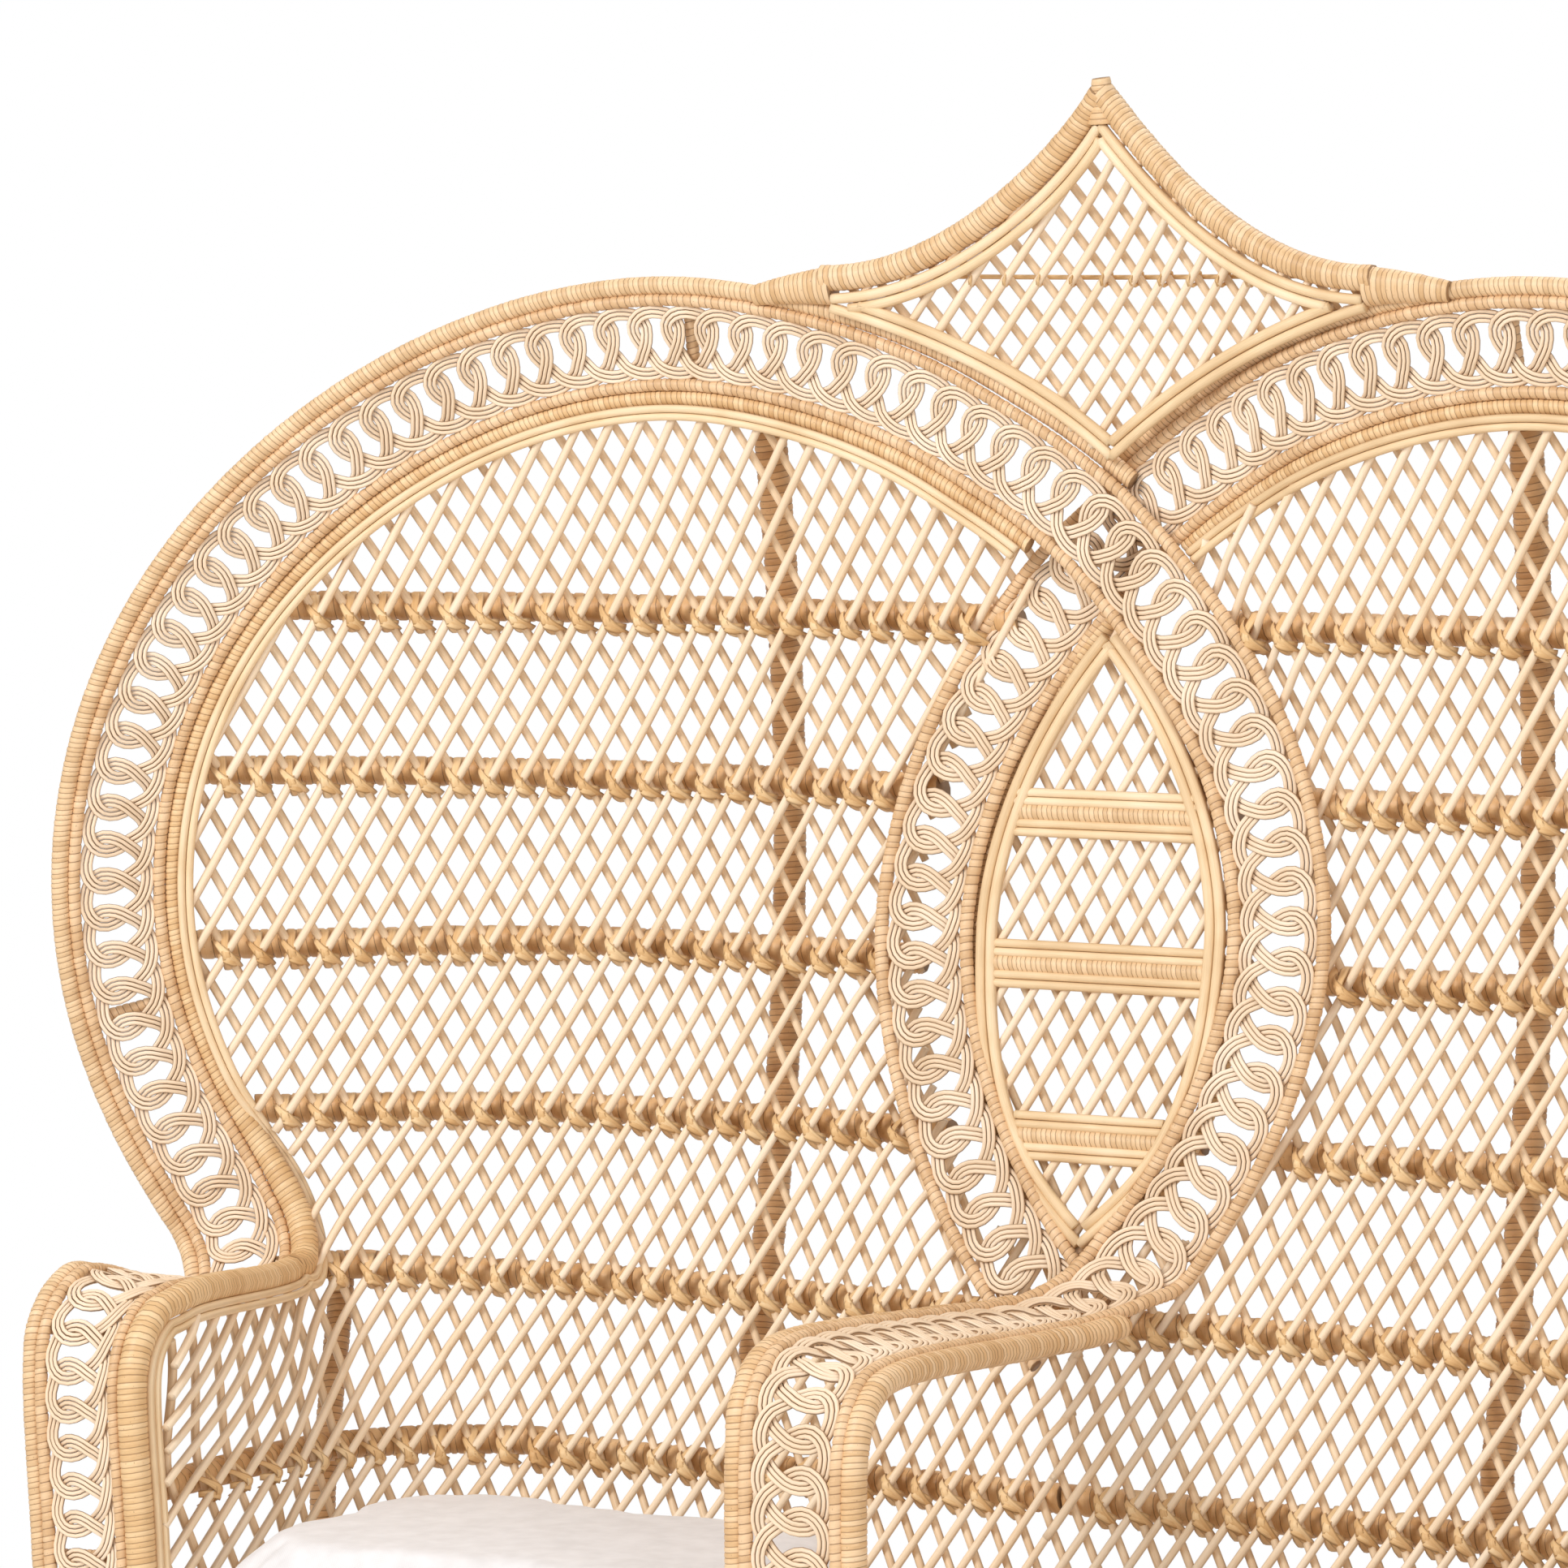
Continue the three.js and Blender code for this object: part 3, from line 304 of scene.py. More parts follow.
def smooth(stations, even, steps=80):
    ends = np.vstack([2 * stations[0] - stations[1], stations, 2 * stations[-1] - stations[-2]])
    gaps = np.ones(len(ends) - 1) if even else np.linalg.norm(np.diff(ends, axis=0), axis=1) ** 0.5
    share = np.linspace(0, 1, steps, endpoint=False)[:, None]
    pieces = []
    for i in range(len(stations) - 1):
        p0, p1, p2, p3 = ends[i:i + 4]
        d0, d1, d2 = gaps[i:i + 3]
        leave = ((p1 - p0) / d0 - (p2 - p0) / (d0 + d1) + (p2 - p1) / d1) * d1
        meet = ((p2 - p1) / d1 - (p3 - p1) / (d1 + d2) + (p3 - p2) / d2) * d1
        curve = 2 * p1 - 2 * p2 + leave + meet
        bend = -3 * p1 + 3 * p2 - 2 * leave - meet
        pieces.append(p1 + leave * share + bend * share ** 2 + curve * share ** 3)
    return np.vstack([*pieces, stations[-1:]])


def travelled(line):
    return np.concatenate([[0], np.cumsum(np.linalg.norm(np.diff(line, axis=0), axis=1))])


def sampled(places, at, rows):
    return np.stack([np.interp(at, places, rows[:, k]) for k in range(rows.shape[1])], -1)


def ribbon_route(leading, mirror):
    places, facings = border_stations(leading)
    line = smooth(places, False)
    facing = smooth(facings, True)
    length = travelled(line)
    at = np.arange(0, length[-1], 1.0)
    line, facing = sampled(length, at, line), sampled(length, at, facing)
    along = unit(np.gradient(line, axis=0))
    facing = unit(facing - along * np.sum(facing * along, axis=1, keepdims=True))
    across = np.cross(along, facing)
    past_top = (line[:, 2] > LOBE_Z) & (line[:, 0] < 0)
    wide = 1 + CENTRE_WIDER * ease(at - at[np.argmax(past_top)], *WIDEN_OVER)
    return {"at": at, "line": line * mirror, "facing": facing * mirror, "across": across * mirror,
            "wide": wide}


ribbons = {name: ribbon_route(name == "left", mirror) for name, mirror in MIRRORS.items()}


def on_ribbon(route, at, outward, lift):
    line = sampled(route["at"], at, route["line"])
    facing = unit(sampled(route["at"], at, route["facing"]))
    across = unit(sampled(route["at"], at, route["across"]))
    outward = (np.broadcast_to(outward, at.shape) * np.interp(at, route["at"], route["wide"]))[:, None]
    lift = np.broadcast_to(lift, at.shape)[:, None]
    return line + across * outward + facing * lift, facing


# One turn of peel has its seam at the start and lies full between two shares of its width.
# Depth of the seam, swell of the turn and its unevenness are shares of the strip's width.
TURN_SHARES = np.array([0.0, 0.22, 0.78])
SEAM_DEPTH = -0.07
TURN_SWELL = 0.03
TURN_UNLIKE = 0.02
# Millimetres to one unit of the winding map on a core that isn't wound
CORE_UNIT = 10.0
# Turns are numbered from a new thousand on each pole of a piece
POLE_APART = 1000


def wound(line, facing, radius, strip, lean=1.2, uneven=0.18, flat=1.0):
    length = travelled(line)
    count = max(2, round(length[-1] / strip))
    widths = 1 + uneven * chance.uniform(-1, 1, count)
    seams = np.concatenate([[0], np.cumsum(widths)]) * length[-1] / widths.sum()
    at = (seams[:-1, None] + np.diff(seams)[:, None] * TURN_SHARES).ravel()
    at = np.append(at, seams[-1])
    wraps = np.append((np.arange(count)[:, None] + TURN_SHARES).ravel(), count)
    swell = strip * np.tile([SEAM_DEPTH, TURN_SWELL, TURN_SWELL], count)
    swell += np.repeat(chance.normal(0, TURN_UNLIKE * strip, count), len(TURN_SHARES))
    size = np.interp(at, length, np.broadcast_to(radius, length.shape)) + np.append(swell, 0)
    return {"line": sampled(length, at, line), "facing": sampled(length, at, facing), "radius": size,
            "wrap": wraps, "lean": lean, "flat": flat, "tone": chance.random()}


def plain(line, facing, radius, flat=1.0):
    return {"line": line, "facing": facing, "radius": np.broadcast_to(radius, (len(line),)),
            "wrap": travelled(line) / CORE_UNIT, "lean": 0.0, "flat": flat, "tone": chance.random()}


# One mesh of poles, each a run of rings. It takes the place of the node of its own name unless others are
# given.
def pole_mesh(name, runs, sides, material, replaced=()):
    points, quads, caps, coords, tones = [], [], [], [], []
    start = 0
    turn = 2 * np.pi * np.arange(sides) / sides
    for run in runs:
        line = run["line"]
        count = len(line)
        along = unit(np.gradient(line, axis=0))
        facing = unit(run["facing"] - along * np.sum(run["facing"] * along, axis=1, keepdims=True))
        across = np.cross(along, facing)
        front = facing[:, None] * (run["flat"] * np.sin(turn))[:, None]
        ring = across[:, None] * np.cos(turn)[:, None] + front
        shift = along[:, None] * (run["lean"] * np.cos(turn))[:, None]
        points.append((line[:, None] + ring * run["radius"][:, None, None] + shift).reshape(-1, 3))
        index = start + np.arange(count * sides).reshape(count, sides)
        near, far = index[:-1], index[1:]
        quads.append(np.stack([near, far, np.roll(far, -1, 1), np.roll(near, -1, 1)], -1).reshape(-1, 4))
        caps += [index[0].tolist(), index[-1][::-1].tolist()]
        wrap = run["wrap"] + POLE_APART * len(tones)
        low, high = np.arange(sides) / sides, np.arange(1, sides + 1) / sides
        grid = np.empty((count - 1, sides, 4, 2))
        grid[..., 0, 0] = grid[..., 3, 0] = wrap[:-1, None]
        grid[..., 1, 0] = grid[..., 2, 0] = wrap[1:, None]
        grid[..., 0, 1] = grid[..., 1, 1] = low
        grid[..., 2, 1] = grid[..., 3, 1] = high
        coords.append(grid.reshape(-1, 2))
        tones.append(np.full(count * sides, run["tone"]))
        start += count * sides
    mesh = bpy.data.meshes.new(name)
    faces = np.vstack(quads).tolist() + caps
    mesh.from_pydata((np.vstack(points) / 1000).tolist(), [], faces)
    layer = mesh.uv_layers.new(name="winding")
    flat = np.zeros((len(mesh.loops), 2), np.float32)
    laid = np.vstack(coords)
    flat[:len(laid)] = laid
    layer.data.foreach_set("uv", flat.ravel())
    tint = mesh.attributes.new("tone", "FLOAT", "POINT")
    tint.data.foreach_set("value", np.concatenate(tones).astype(np.float32))
    mesh.polygons.foreach_set("use_smooth", [True] * len(mesh.polygons))
    mesh.materials.append(material)
    piece = bpy.data.objects.new(name, mesh)
    bpy.context.scene.collection.objects.link(piece)
    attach(piece, "frame")
    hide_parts(*(replaced or [name]))


# Rattan peel, the glossy skin of the vine, split into strips and wound wet round the pole. It gives close
# honey-coloured turns of slightly different tone, fine fibres and small brown scars; the seams between turns
# are darkened as painted shade for the groove. Fibres run along the strip; they, the scars, the painted seam
# shade and the broad patches of tone are in millimetres.
FIBRE_WIDE = 0.45
FIBRE_LONG = 9.0
SCAR_WIDE = 2.2
SCAR_LONG = 1.1
SEAM_SHADE_WIDE = 0.6
PEEL_PATCH = 71.43


def wound_peel(name, dark, middle, light, scar_and_seam_shade, strip, girth):
    material = bpy.data.materials.new(name)
    tree = empty_tree(material)
    winding = node(tree, "ShaderNodeUVMap", uv_map="winding")
    parts = node(tree, "ShaderNodeSeparateXYZ", {0: winding.outputs[0]})
    number = node(tree, "ShaderNodeMath", {0: parts.outputs[0]}, operation="FLOOR")
    guess = node(tree, "ShaderNodeTexWhiteNoise", {"W": number.outputs[0]}, noise_dimensions="1D")
    stretch = node(tree, "ShaderNodeVectorMath", {
        0: winding.outputs[0], 1: (strip / FIBRE_WIDE, girth / FIBRE_LONG, 1)}, operation="MULTIPLY")
    fibre = node(tree, "ShaderNodeTexNoise", {"Vector": stretch.outputs[0], "Scale": 1.0, "Detail": 3.0})
    place = node(tree, "ShaderNodeTexCoord")
    broad = node(tree, "ShaderNodeTexNoise", {
        "Vector": place.outputs["Object"], "Scale": 1000 / PEEL_PATCH, "Detail": 2.0})
    tone = node(tree, "ShaderNodeMath", {0: guess.outputs[0], 1: 0.34, 2: 0.1}, operation="MULTIPLY_ADD")
    for pattern, weight in ((broad, 0.6), (fibre, 0.5)):
        tone = node(tree, "ShaderNodeMath", {
            0: pattern.outputs[0], 1: weight, 2: tone.outputs[0]}, operation="MULTIPLY_ADD")
    low = node(tree, "ShaderNodeMapRange", {"Value": tone.outputs[0], "From Min": 0.35, "From Max": 0.85})
    high = node(tree, "ShaderNodeMapRange", {"Value": tone.outputs[0], "From Min": 0.75, "From Max": 1.3})
    spot = node(tree, "ShaderNodeVectorMath", {
        0: winding.outputs[0], 1: (strip / SCAR_WIDE, girth / SCAR_LONG, 1)}, operation="MULTIPLY")
    scar = node(tree, "ShaderNodeTexNoise", {"Vector": spot.outputs[0], "Scale": 1.0, "Detail": 1.0})
    mark = node(tree, "ShaderNodeMapRange", {"Value": scar.outputs[0], "From Min": 0.7, "From Max": 0.78})
    mark = node(tree, "ShaderNodeMath", {0: mark.outputs[0], 1: 0.55}, operation="MULTIPLY")
    # Painted shade: a thin dark line at the seam between turns stands in for the shade in the groove; the
    # same dark colour also marks the real scars
    across = node(tree, "ShaderNodeMath", {0: parts.outputs[0]}, operation="FRACT")
    centre = node(tree, "ShaderNodeMath", {0: across.outputs[0], 1: 0.5}, operation="SUBTRACT")
    edge = node(tree, "ShaderNodeMath", {0: centre.outputs[0]}, operation="ABSOLUTE")
    line = node(tree, "ShaderNodeMapRange", {
        "Value": edge.outputs[0], "From Min": 0.5 - SEAM_SHADE_WIDE / strip, "From Max": 0.5, "To Max": 0.75},
        interpolation_type="SMOOTHSTEP")
    colour = linear(dark)
    for share, over in ((low, middle), (high, light), (mark, scar_and_seam_shade), (line, scar_and_seam_shade)):
        blend = node(tree, "ShaderNodeMix", {
            0: share.outputs[0], 6: colour, 7: linear(over)}, data_type="RGBA")
        colour = blend.outputs[2]
    rough = node(tree, "ShaderNodeMapRange", {"Value": fibre.outputs[0], "To Min": 0.36, "To Max": 0.58})
    rise = node(tree, "ShaderNodeBump", {"Height": fibre.outputs[0], "Strength": 0.25, "Distance": 0.0003})
    skin = node(tree, "ShaderNodeBsdfPrincipled", {
        "Base Color": colour, "Roughness": rough.outputs[0], "IOR": 1.48, "Normal": rise.outputs[0]})
    node(tree, "ShaderNodeOutputMaterial", {"Surface": skin.outputs[0]})
    return material


rim_peel = wound_peel("rattan_peel_wound_honey", "#cda679", "#e8c497", "#fadab2", "#7d5530", RIM_STRIP, 47)
for name, route in ribbons.items():
    x_out = route["line"][:, 0] * SIDES[name]
    past_middle = (route["line"][:, 2] > LOBE_Z) & (x_out < RIM_END_X)
    stop = float(route["at"][np.argmax(past_middle)])
    at = np.arange(0, stop, ROUTE_STEP)
    from_crown = ease(stop - at, *RIM_EASE)
    line, facing = on_ribbon(route, at, RIM_AT, RIM_LIFT + RIM_LIFT_MORE * from_crown)
    pole_mesh(f"{name}_outer_rim", [wound(line, facing, RIM_R, RIM_STRIP)], 10, rim_peel)


# Bindings: thin rods wound with wider peel, tacked along both edges of the looped border.
# They hold the turns of the loops, and run with them from the foot of the arm to the far end.
BINDING_AT = 33.0
BINDING_R = 4.8
BINDING_LIFT = 1.0
BINDING_STRIP = 5.4
binding_peel = wound_peel("rattan_peel_wound_narrow", "#c99f72", "#e4bd90", "#f8d8b2", "#6f4727",
                          BINDING_STRIP, 26)
for name, route in ribbons.items():
    at = np.arange(0, route["at"][-1], ROUTE_STEP)
    radius = BINDING_R * np.interp(at, route["at"], route["wide"])
    for edge, outward in (("outer", BINDING_AT), ("inner", -BINDING_AT)):
        line, facing = on_ribbon(route, at, outward, BINDING_LIFT)
        run = wound(line, facing, radius, BINDING_STRIP, 0.9, 0.3)
        pole_mesh(f"{name}_{edge}_binding", [run], 8, binding_peel)


# Spacers: short wound rods set across each border behind the loops, from the outer rim to the inner frame.
# They keep the two edges apart at the arm front, at the side and at the top of the back.
SPACER_R = 5.0
SPACER_ENDS = (-31.0, 39.0)
SPACER_POINTS = 9
SPACER_LIFT = -9.0
# On the arm front: x, way behind the front, z. On the back: degrees round it.
SPACERS_ON_ARM = ((633, 0, 432), (639, 6, 604))
SPACERS_ON_BACK = (-11, 92)
for name, route in ribbons.items():
    spots = [np.array((x, SIDE_FRONT_Y + behind, z)) for x, behind, z in SPACERS_ON_ARM]
    spots += [on_sheet(*round_back(math.radians(angle))) for angle in SPACERS_ON_BACK]
    runs = []
    for spot in spots:
        away = np.linalg.norm(route["line"] - spot * MIRRORS[name], axis=1)
        at = np.full(SPACER_POINTS, route["at"][np.argmin(away)])
        line, facing = on_ribbon(route, at, np.linspace(*SPACER_ENDS, SPACER_POINTS), SPACER_LIFT)
        runs.append(wound(line, facing, SPACER_R, BINDING_STRIP))
    pole_mesh(f"{name}_spacers", runs, 8, binding_peel, [f"{name}_outer_binding"])


# Looped borders: three round cores laid side by side run forward and double back in one long chain of loops.
# Each loop passes over the next at one crossing and under it at the other.
LOOP_PITCH = 28.4
LOOP_HALF = 23.6
LOOP_RISE = 1.9
LOOP_LIFT = 0.6
LOOP_POINTS = 30
LOOP_FINE = 12
STRAND_R = 1.72
STRAND_STEP = 3.5
STRANDS = (-1, 0, 1)


# Rattan core, the inner wood of the vine drawn round through a die. It is pale and dry, with long grain lines
# and a faint shine; each strand has a slightly different tone. Its flanks are darkened as painted shade,
# standing in for the shade between cores that lie side by side. Grain and patches of tone are in millimetres.
GRAIN_LONG = 28.0
GRAIN_WIDE = 0.7
CORE_PATCH = 45.45


def drawn_core(name, dark, middle, light, grain_and_flank_shade, girth, flank_shade_depth=0.3):
    material = bpy.data.materials.new(name)
    tree = empty_tree(material)
    winding = node(tree, "ShaderNodeUVMap", uv_map="winding")
    tint = node(tree, "ShaderNodeAttribute", attribute_name="tone")
    stretch = node(tree, "ShaderNodeVectorMath", {
        0: winding.outputs[0], 1: (CORE_UNIT / GRAIN_LONG, girth / GRAIN_WIDE, 1)}, operation="MULTIPLY")
    lines = node(tree, "ShaderNodeTexNoise", {"Vector": stretch.outputs[0], "Scale": 1.0, "Detail": 3.0})
    place = node(tree, "ShaderNodeTexCoord")
    broad = node(tree, "ShaderNodeTexNoise", {
        "Vector": place.outputs["Object"], "Scale": 1000 / CORE_PATCH, "Detail": 2.0})
    tone = node(tree, "ShaderNodeMath", {0: tint.outputs["Fac"], 1: 0.35}, operation="MULTIPLY")
    for pattern, weight in ((broad, 0.7), (lines, 0.6)):
        tone = node(tree, "ShaderNodeMath", {
            0: pattern.outputs[0], 1: weight, 2: tone.outputs[0]}, operation="MULTIPLY_ADD")
    low = node(tree, "ShaderNodeMapRange", {"Value": tone.outputs[0], "From Min": 0.4, "From Max": 0.85})
    high = node(tree, "ShaderNodeMapRange", {"Value": tone.outputs[0], "From Min": 0.8, "From Max": 1.25})
    pores = node(tree, "ShaderNodeMapRange", {
        "Value": lines.outputs[0], "From Min": 0.66, "From Max": 0.74, "To Max": 0.4})
    # Painted shade: the flanks of a core, where it lies against the next one, are darkened in colour to stand
    # in for the shade in the crevice between strands
    parts = node(tree, "ShaderNodeSeparateXYZ", {0: winding.outputs[0]})
    turn = node(tree, "ShaderNodeMath", {0: parts.outputs[1], 1: 2 * math.pi}, operation="MULTIPLY")
    flank = node(tree, "ShaderNodeMath", {0: turn.outputs[0]}, operation="COSINE")
    flank = node(tree, "ShaderNodeMath", {0: flank.outputs[0]}, operation="ABSOLUTE")
    painted_flank_shade = node(tree, "ShaderNodeMapRange", {
        "Value": flank.outputs[0], "From Min": 0.84, "From Max": 1.0, "To Max": flank_shade_depth})
    colour = linear(dark)
    for share, over in ((low, middle), (high, light), (pores, grain_and_flank_shade), (painted_flank_shade, grain_and_flank_shade)):
        blend = node(tree, "ShaderNodeMix", {
            0: share.outputs[0], 6: colour, 7: linear(over)}, data_type="RGBA")
        colour = blend.outputs[2]
    rise = node(tree, "ShaderNodeBump", {"Height": lines.outputs[0], "Strength": 0.3, "Distance": 0.0002})
    wood = node(tree, "ShaderNodeBsdfPrincipled", {
        "Base Color": colour, "Roughness": 0.56, "IOR": 1.48, "Normal": rise.outputs[0]})
    node(tree, "ShaderNodeOutputMaterial", {"Surface": wood.outputs[0]})
    return material


# The loops carry the strongest painted shade on their flanks, standing in for the dark crevices between the
# three cores
loop_core = drawn_core("rattan_core_drawn_fine", "#dcbd98", "#f5dcbe", "#fef0dc", "#7b552e", 10.5, 0.9)
# One loop as it lies on the border: share of the half width outward, turns forward, share of the rise
one_loop = np.array([
    (-0.415, -0.01, -1.0), (-0.77, 0.26, 0.5), (-0.97, 0.64, 1.0), (-1.02, 1.02, 0.0), (-0.94, 1.29, -1.0),
    (-0.715, 1.6, -1.0), (-0.38, 1.81, 0.6), (-0.03, 1.98, 1.0), (0.32, 2.03, 0.3), (0.64, 1.97, -0.7),
    (0.85, 1.78, -1.0), (0.975, 1.5, -0.6), (1.02, 1.155, 0.5), (0.905, 0.88, 1.0), (0.66, 0.69, 1.0),
    (0.36, 0.64, 0.3), (0.04, 0.71, -0.6), (-0.2, 0.845, -1.0)])
loop_size = np.array([LOOP_HALF, LOOP_PITCH, LOOP_RISE])
next_loop = np.array([0, LOOP_PITCH, 0])
three_loops = np.vstack([one_loop * loop_size + n * next_loop for n in (-1, 0, 1)])
per_loop = LOOP_FINE * len(one_loop)
fine_loop = smooth(three_loops, False, LOOP_FINE)[per_loop:2 * per_loop + 1]
loop_long = travelled(fine_loop)
loop_even = np.linspace(0, loop_long[-1], LOOP_POINTS, endpoint=False)
loop_shape = sampled(loop_long, loop_even, fine_loop)
for name, route in ribbons.items():
    total = route["at"][-1]
    turns = int(total / LOOP_PITCH) - 1
    begin = (total - (turns + 1) * LOOP_PITCH) / 2
    chain = np.vstack([loop_shape + n * next_loop for n in range(turns)])
    outward, forward, lift = chain.T
    step, rise = np.gradient(forward), np.gradient(outward)
    size = np.hypot(step, rise)
    runs = []
    for strand in STRANDS:
        off = strand * STRAND_STEP
        along = begin + forward - off * rise / size
        at = np.clip(along if name == "left" else total - along, 0, total)
        line, facing = on_ribbon(route, at, outward + off * step / size, LOOP_LIFT + lift)
        runs.append(plain(line, facing, STRAND_R * np.interp(at, route["at"], route["wide"])))
    pole_mesh(f"{name}_looped_border", runs, 6, loop_core)


# Inner frames: wound poles along the inner edge of each border, thicker where they carry the side arm.
# The sticks of the lattice end behind them, and each stops where the border of the other back crosses.
FRAME_EDGE = 37.2
FRAME_R = 6.6
FRAME_LIFT = -1.0
ARM_FRAME_R = 11.0
FRAME_STRIP = 4.4
# Heights between which the border turns from the arm to the back
ARM_TO_BACK = (640.0, 740.0)
CROSSING_X = 300.0


# Distance outward from the middle of the other back's border; x counts outward on this side
def other_gap(x, z):
    across, up = x + LOBE_X, z - LOBE_Z
    wide = np.where(across > 0, LOBE_IN, LOBE_OUT)
    power = np.where(across > 0, LOBE_POWER, 2.0)
    right, high = np.abs(across / wide), np.abs(up / LOBE_TALL)
    reach = (right ** power + high ** power) ** (1 / power)
    slope = np.hypot(right ** (power - 1) / wide, high ** (power - 1) / LOBE_TALL) * reach ** (1 - power)
    return (reach - 1) / slope


def before_crossing(line, side, gap):
    x, z = line[:, 0] * side, line[:, 2]
    crossed = (z > LOBE_Z) & (x < CROSSING_X) & (other_gap(x, z) < gap)
    return int(np.argmax(crossed)) if crossed.any() else len(line)


frame_peel = wound_peel("rattan_peel_wound_amber", "#c99b66", "#e6bf8c", "#f6dab0", "#83582f",
                        FRAME_STRIP, 52)
for name, route in ribbons.items():
    at = np.arange(0, route["at"][-1], ROUTE_STEP)
    middle, _ = on_ribbon(route, at, 0.0, 0.0)
    radius = ARM_FRAME_R + (FRAME_R - ARM_FRAME_R) * ease(middle[:, 2], *ARM_TO_BACK)
    line, facing = on_ribbon(route, at, -(FRAME_EDGE + radius), FRAME_LIFT)
    stop = before_crossing(line, SIDES[name], FRAME_EDGE)
    run = wound(line[:stop], facing[:stop], radius[:stop], FRAME_STRIP)
    pole_mesh(f"{name}_inner_frame", [run], 10, frame_peel,
              [f"{name}_arm_inner_rail", f"{name}_back_lattice"])


# Lattices: two layers of straight round cores laid across each other in diamonds, from the back round to the
# arm front in one sheet. It follows the bowed back and turns forward under the arm.
STICK_R = 3.5
STICK_LIFT = 3.9
STICK_STEP = 25.9
STICK_SLOPE = 0.607
STICK_PHASE = 11.5
STICK_FINE = 2.0
STICK_EVERY = 5
FEWEST_POINTS = 7
# Tone added to the front layer of sticks, so that the back layer is darker as painted shade
LAYER_PAINTED_SHADE = 0.35
STICK_UNLIKE = 0.3
ROW_Z = 1117.0
ROW_STEP = 128.0
# The sheet bends forward to become the side wall: place and radius of the bend at the seat and under the arm
BEND_X = (450.0, 599.0)
BEND_R = (150.0, 55.0)
BEND_TURN = math.radians(84)
BEND_OVER = (480.0, 600.0)
BEND_ENDS = (600.0, 665.0)
WALL_STRETCH = 1.6
WALL_FRONT = 17.0
WALL_REACH = (0.0, 1200.0)
WALL_TOP = 1330.0
# Beside the root of the arm the sheet sags a little
WALL_SAG = 8.0
SAG_ACROSS = (420.0, 760.0)
SAG_FROM = (660.0, 740.0)
SAG_TO = (880.0, 1000.0)
ARM_UNDER_Z = 606.0
ARM_CLEAR = 52.0
LOWEST_Z = SEAT_Z + 11
MIDDLE_X = 66.0
SEAT_MIDDLE_X = -2.0
# Near the other back's border the sticks end, and lie further back just before it
BORDER_CLEAR = 18.0
BORDER_EASE = (34.0, 74.0)
BORDER_BACK = 11.0


def sheet_run(x, z):
    curve = side_curve(z)
    out = np.maximum(x - LOBE_X, 0)
    bent = out * np.sqrt(1 + (curve * out) ** 2) + np.arcsinh(curve * out) / curve
    return np.minimum(x, LOBE_X) + 0.5 * bent


SEARCH_STEPS = 6
SEARCH_SLOPE = 1.15


# The x that lies a run along the sheet, found in a few steps of one slope
def sheet_across(run, z):
    x = np.array(run, float)
    for _ in range(SEARCH_STEPS):
        x = x - (sheet_run(x, z) - run) / SEARCH_SLOPE
    return x


def on_wall(run, z, lift=0.0):
    run, z = np.broadcast_arrays(np.asarray(run, float), np.asarray(z, float))
    x = sheet_across(run, z)
    facing = sheet_facing(x, z)
    place = np.stack([x, sheet_depth(x, z), z], -1)
    high = ease(z, *BEND_OVER)
    corner_x = BEND_X[0] + (BEND_X[1] - BEND_X[0]) * high
    radius = BEND_R[0] + (BEND_R[1] - BEND_R[0]) * high
    corner_y = sheet_depth(corner_x, z)
    tilt = np.arctan(corner_y - sheet_depth(corner_x - 1, z))
    past = np.maximum(run - sheet_run(corner_x, z), 0)
    turn = np.minimum(past / radius, BEND_TURN)
    rest = WALL_STRETCH * np.maximum(past - radius * BEND_TURN, 0)
    way = tilt - turn
    bent_x = corner_x + radius * (np.sin(tilt) - np.sin(way)) + rest * np.cos(way)
    bent_y = corner_y + radius * (np.cos(way) - np.cos(tilt)) + rest * np.sin(way)
    bent = np.stack([bent_x, bent_y, z], -1)
    bent_facing = np.stack([np.sin(way), -np.cos(way), np.zeros_like(z)], -1)
    share = ((past > 0) * (1 - ease(z, *BEND_ENDS)))[..., None]
    place = place + share * (bent - place)
    place[..., 2] -= WALL_SAG * ease(run, *SAG_ACROSS) * ease(z, *SAG_FROM) * (1 - ease(z, *SAG_TO))
    facing = unit(facing + share * (bent_facing - facing))
    return place + facing * np.broadcast_to(lift, z.shape)[..., None], facing


def front_run(z):
    runs = np.arange(560, WALL_REACH[1], 2.0)
    depths = on_wall(runs, z)[0][:, 1]
    return float(runs[np.argmax(depths < SIDE_FRONT_Y + WALL_FRONT)])


def beside(path, inward):
    along = unit(np.gradient(path, axis=0))
    return path + inward * np.stack([-along[:, 1], along[:, 0]], -1)


# Edge of the sheet: up the arm front, round its upper corner, back under the arm to its root, then along the
# inner frame round the back. The far end lies past the middle of the chair.
EDGE_FRONT = (LOWEST_Z, 430.0, 500.0, 545.0)
EDGE_CORNER = ((580.0, -7.0, 588.0), (600.0, -29.0, ARM_UNDER_Z + 3))
EDGE_UNDER = ((131.0, -1.0), (96.0, -10.0), (80.0, -9.0), (64.0, 12.0))
EDGE_ROOT = (652.0, 668.0)
EDGE_ANGLES = np.arange(-30, 168, 6)
EDGE_FAR = -140.0
bend_run = float(sheet_run(BEND_X[1], ARM_UNDER_Z))
edge_points = [(front_run(z), z) for z in EDGE_FRONT]
edge_points += [(front_run(z) + back, up) for z, back, up in EDGE_CORNER]
edge_points += [(bend_run + far, ARM_UNDER_Z + up) for far, up in EDGE_UNDER]
edge_points.append((float(sheet_run(*EDGE_ROOT)), EDGE_ROOT[1]))
round_x, round_z = round_back(np.radians(EDGE_ANGLES))
round_edge = beside(np.stack([sheet_run(round_x, round_z), round_z], -1), FRAME_EDGE + 2 * FRAME_R)
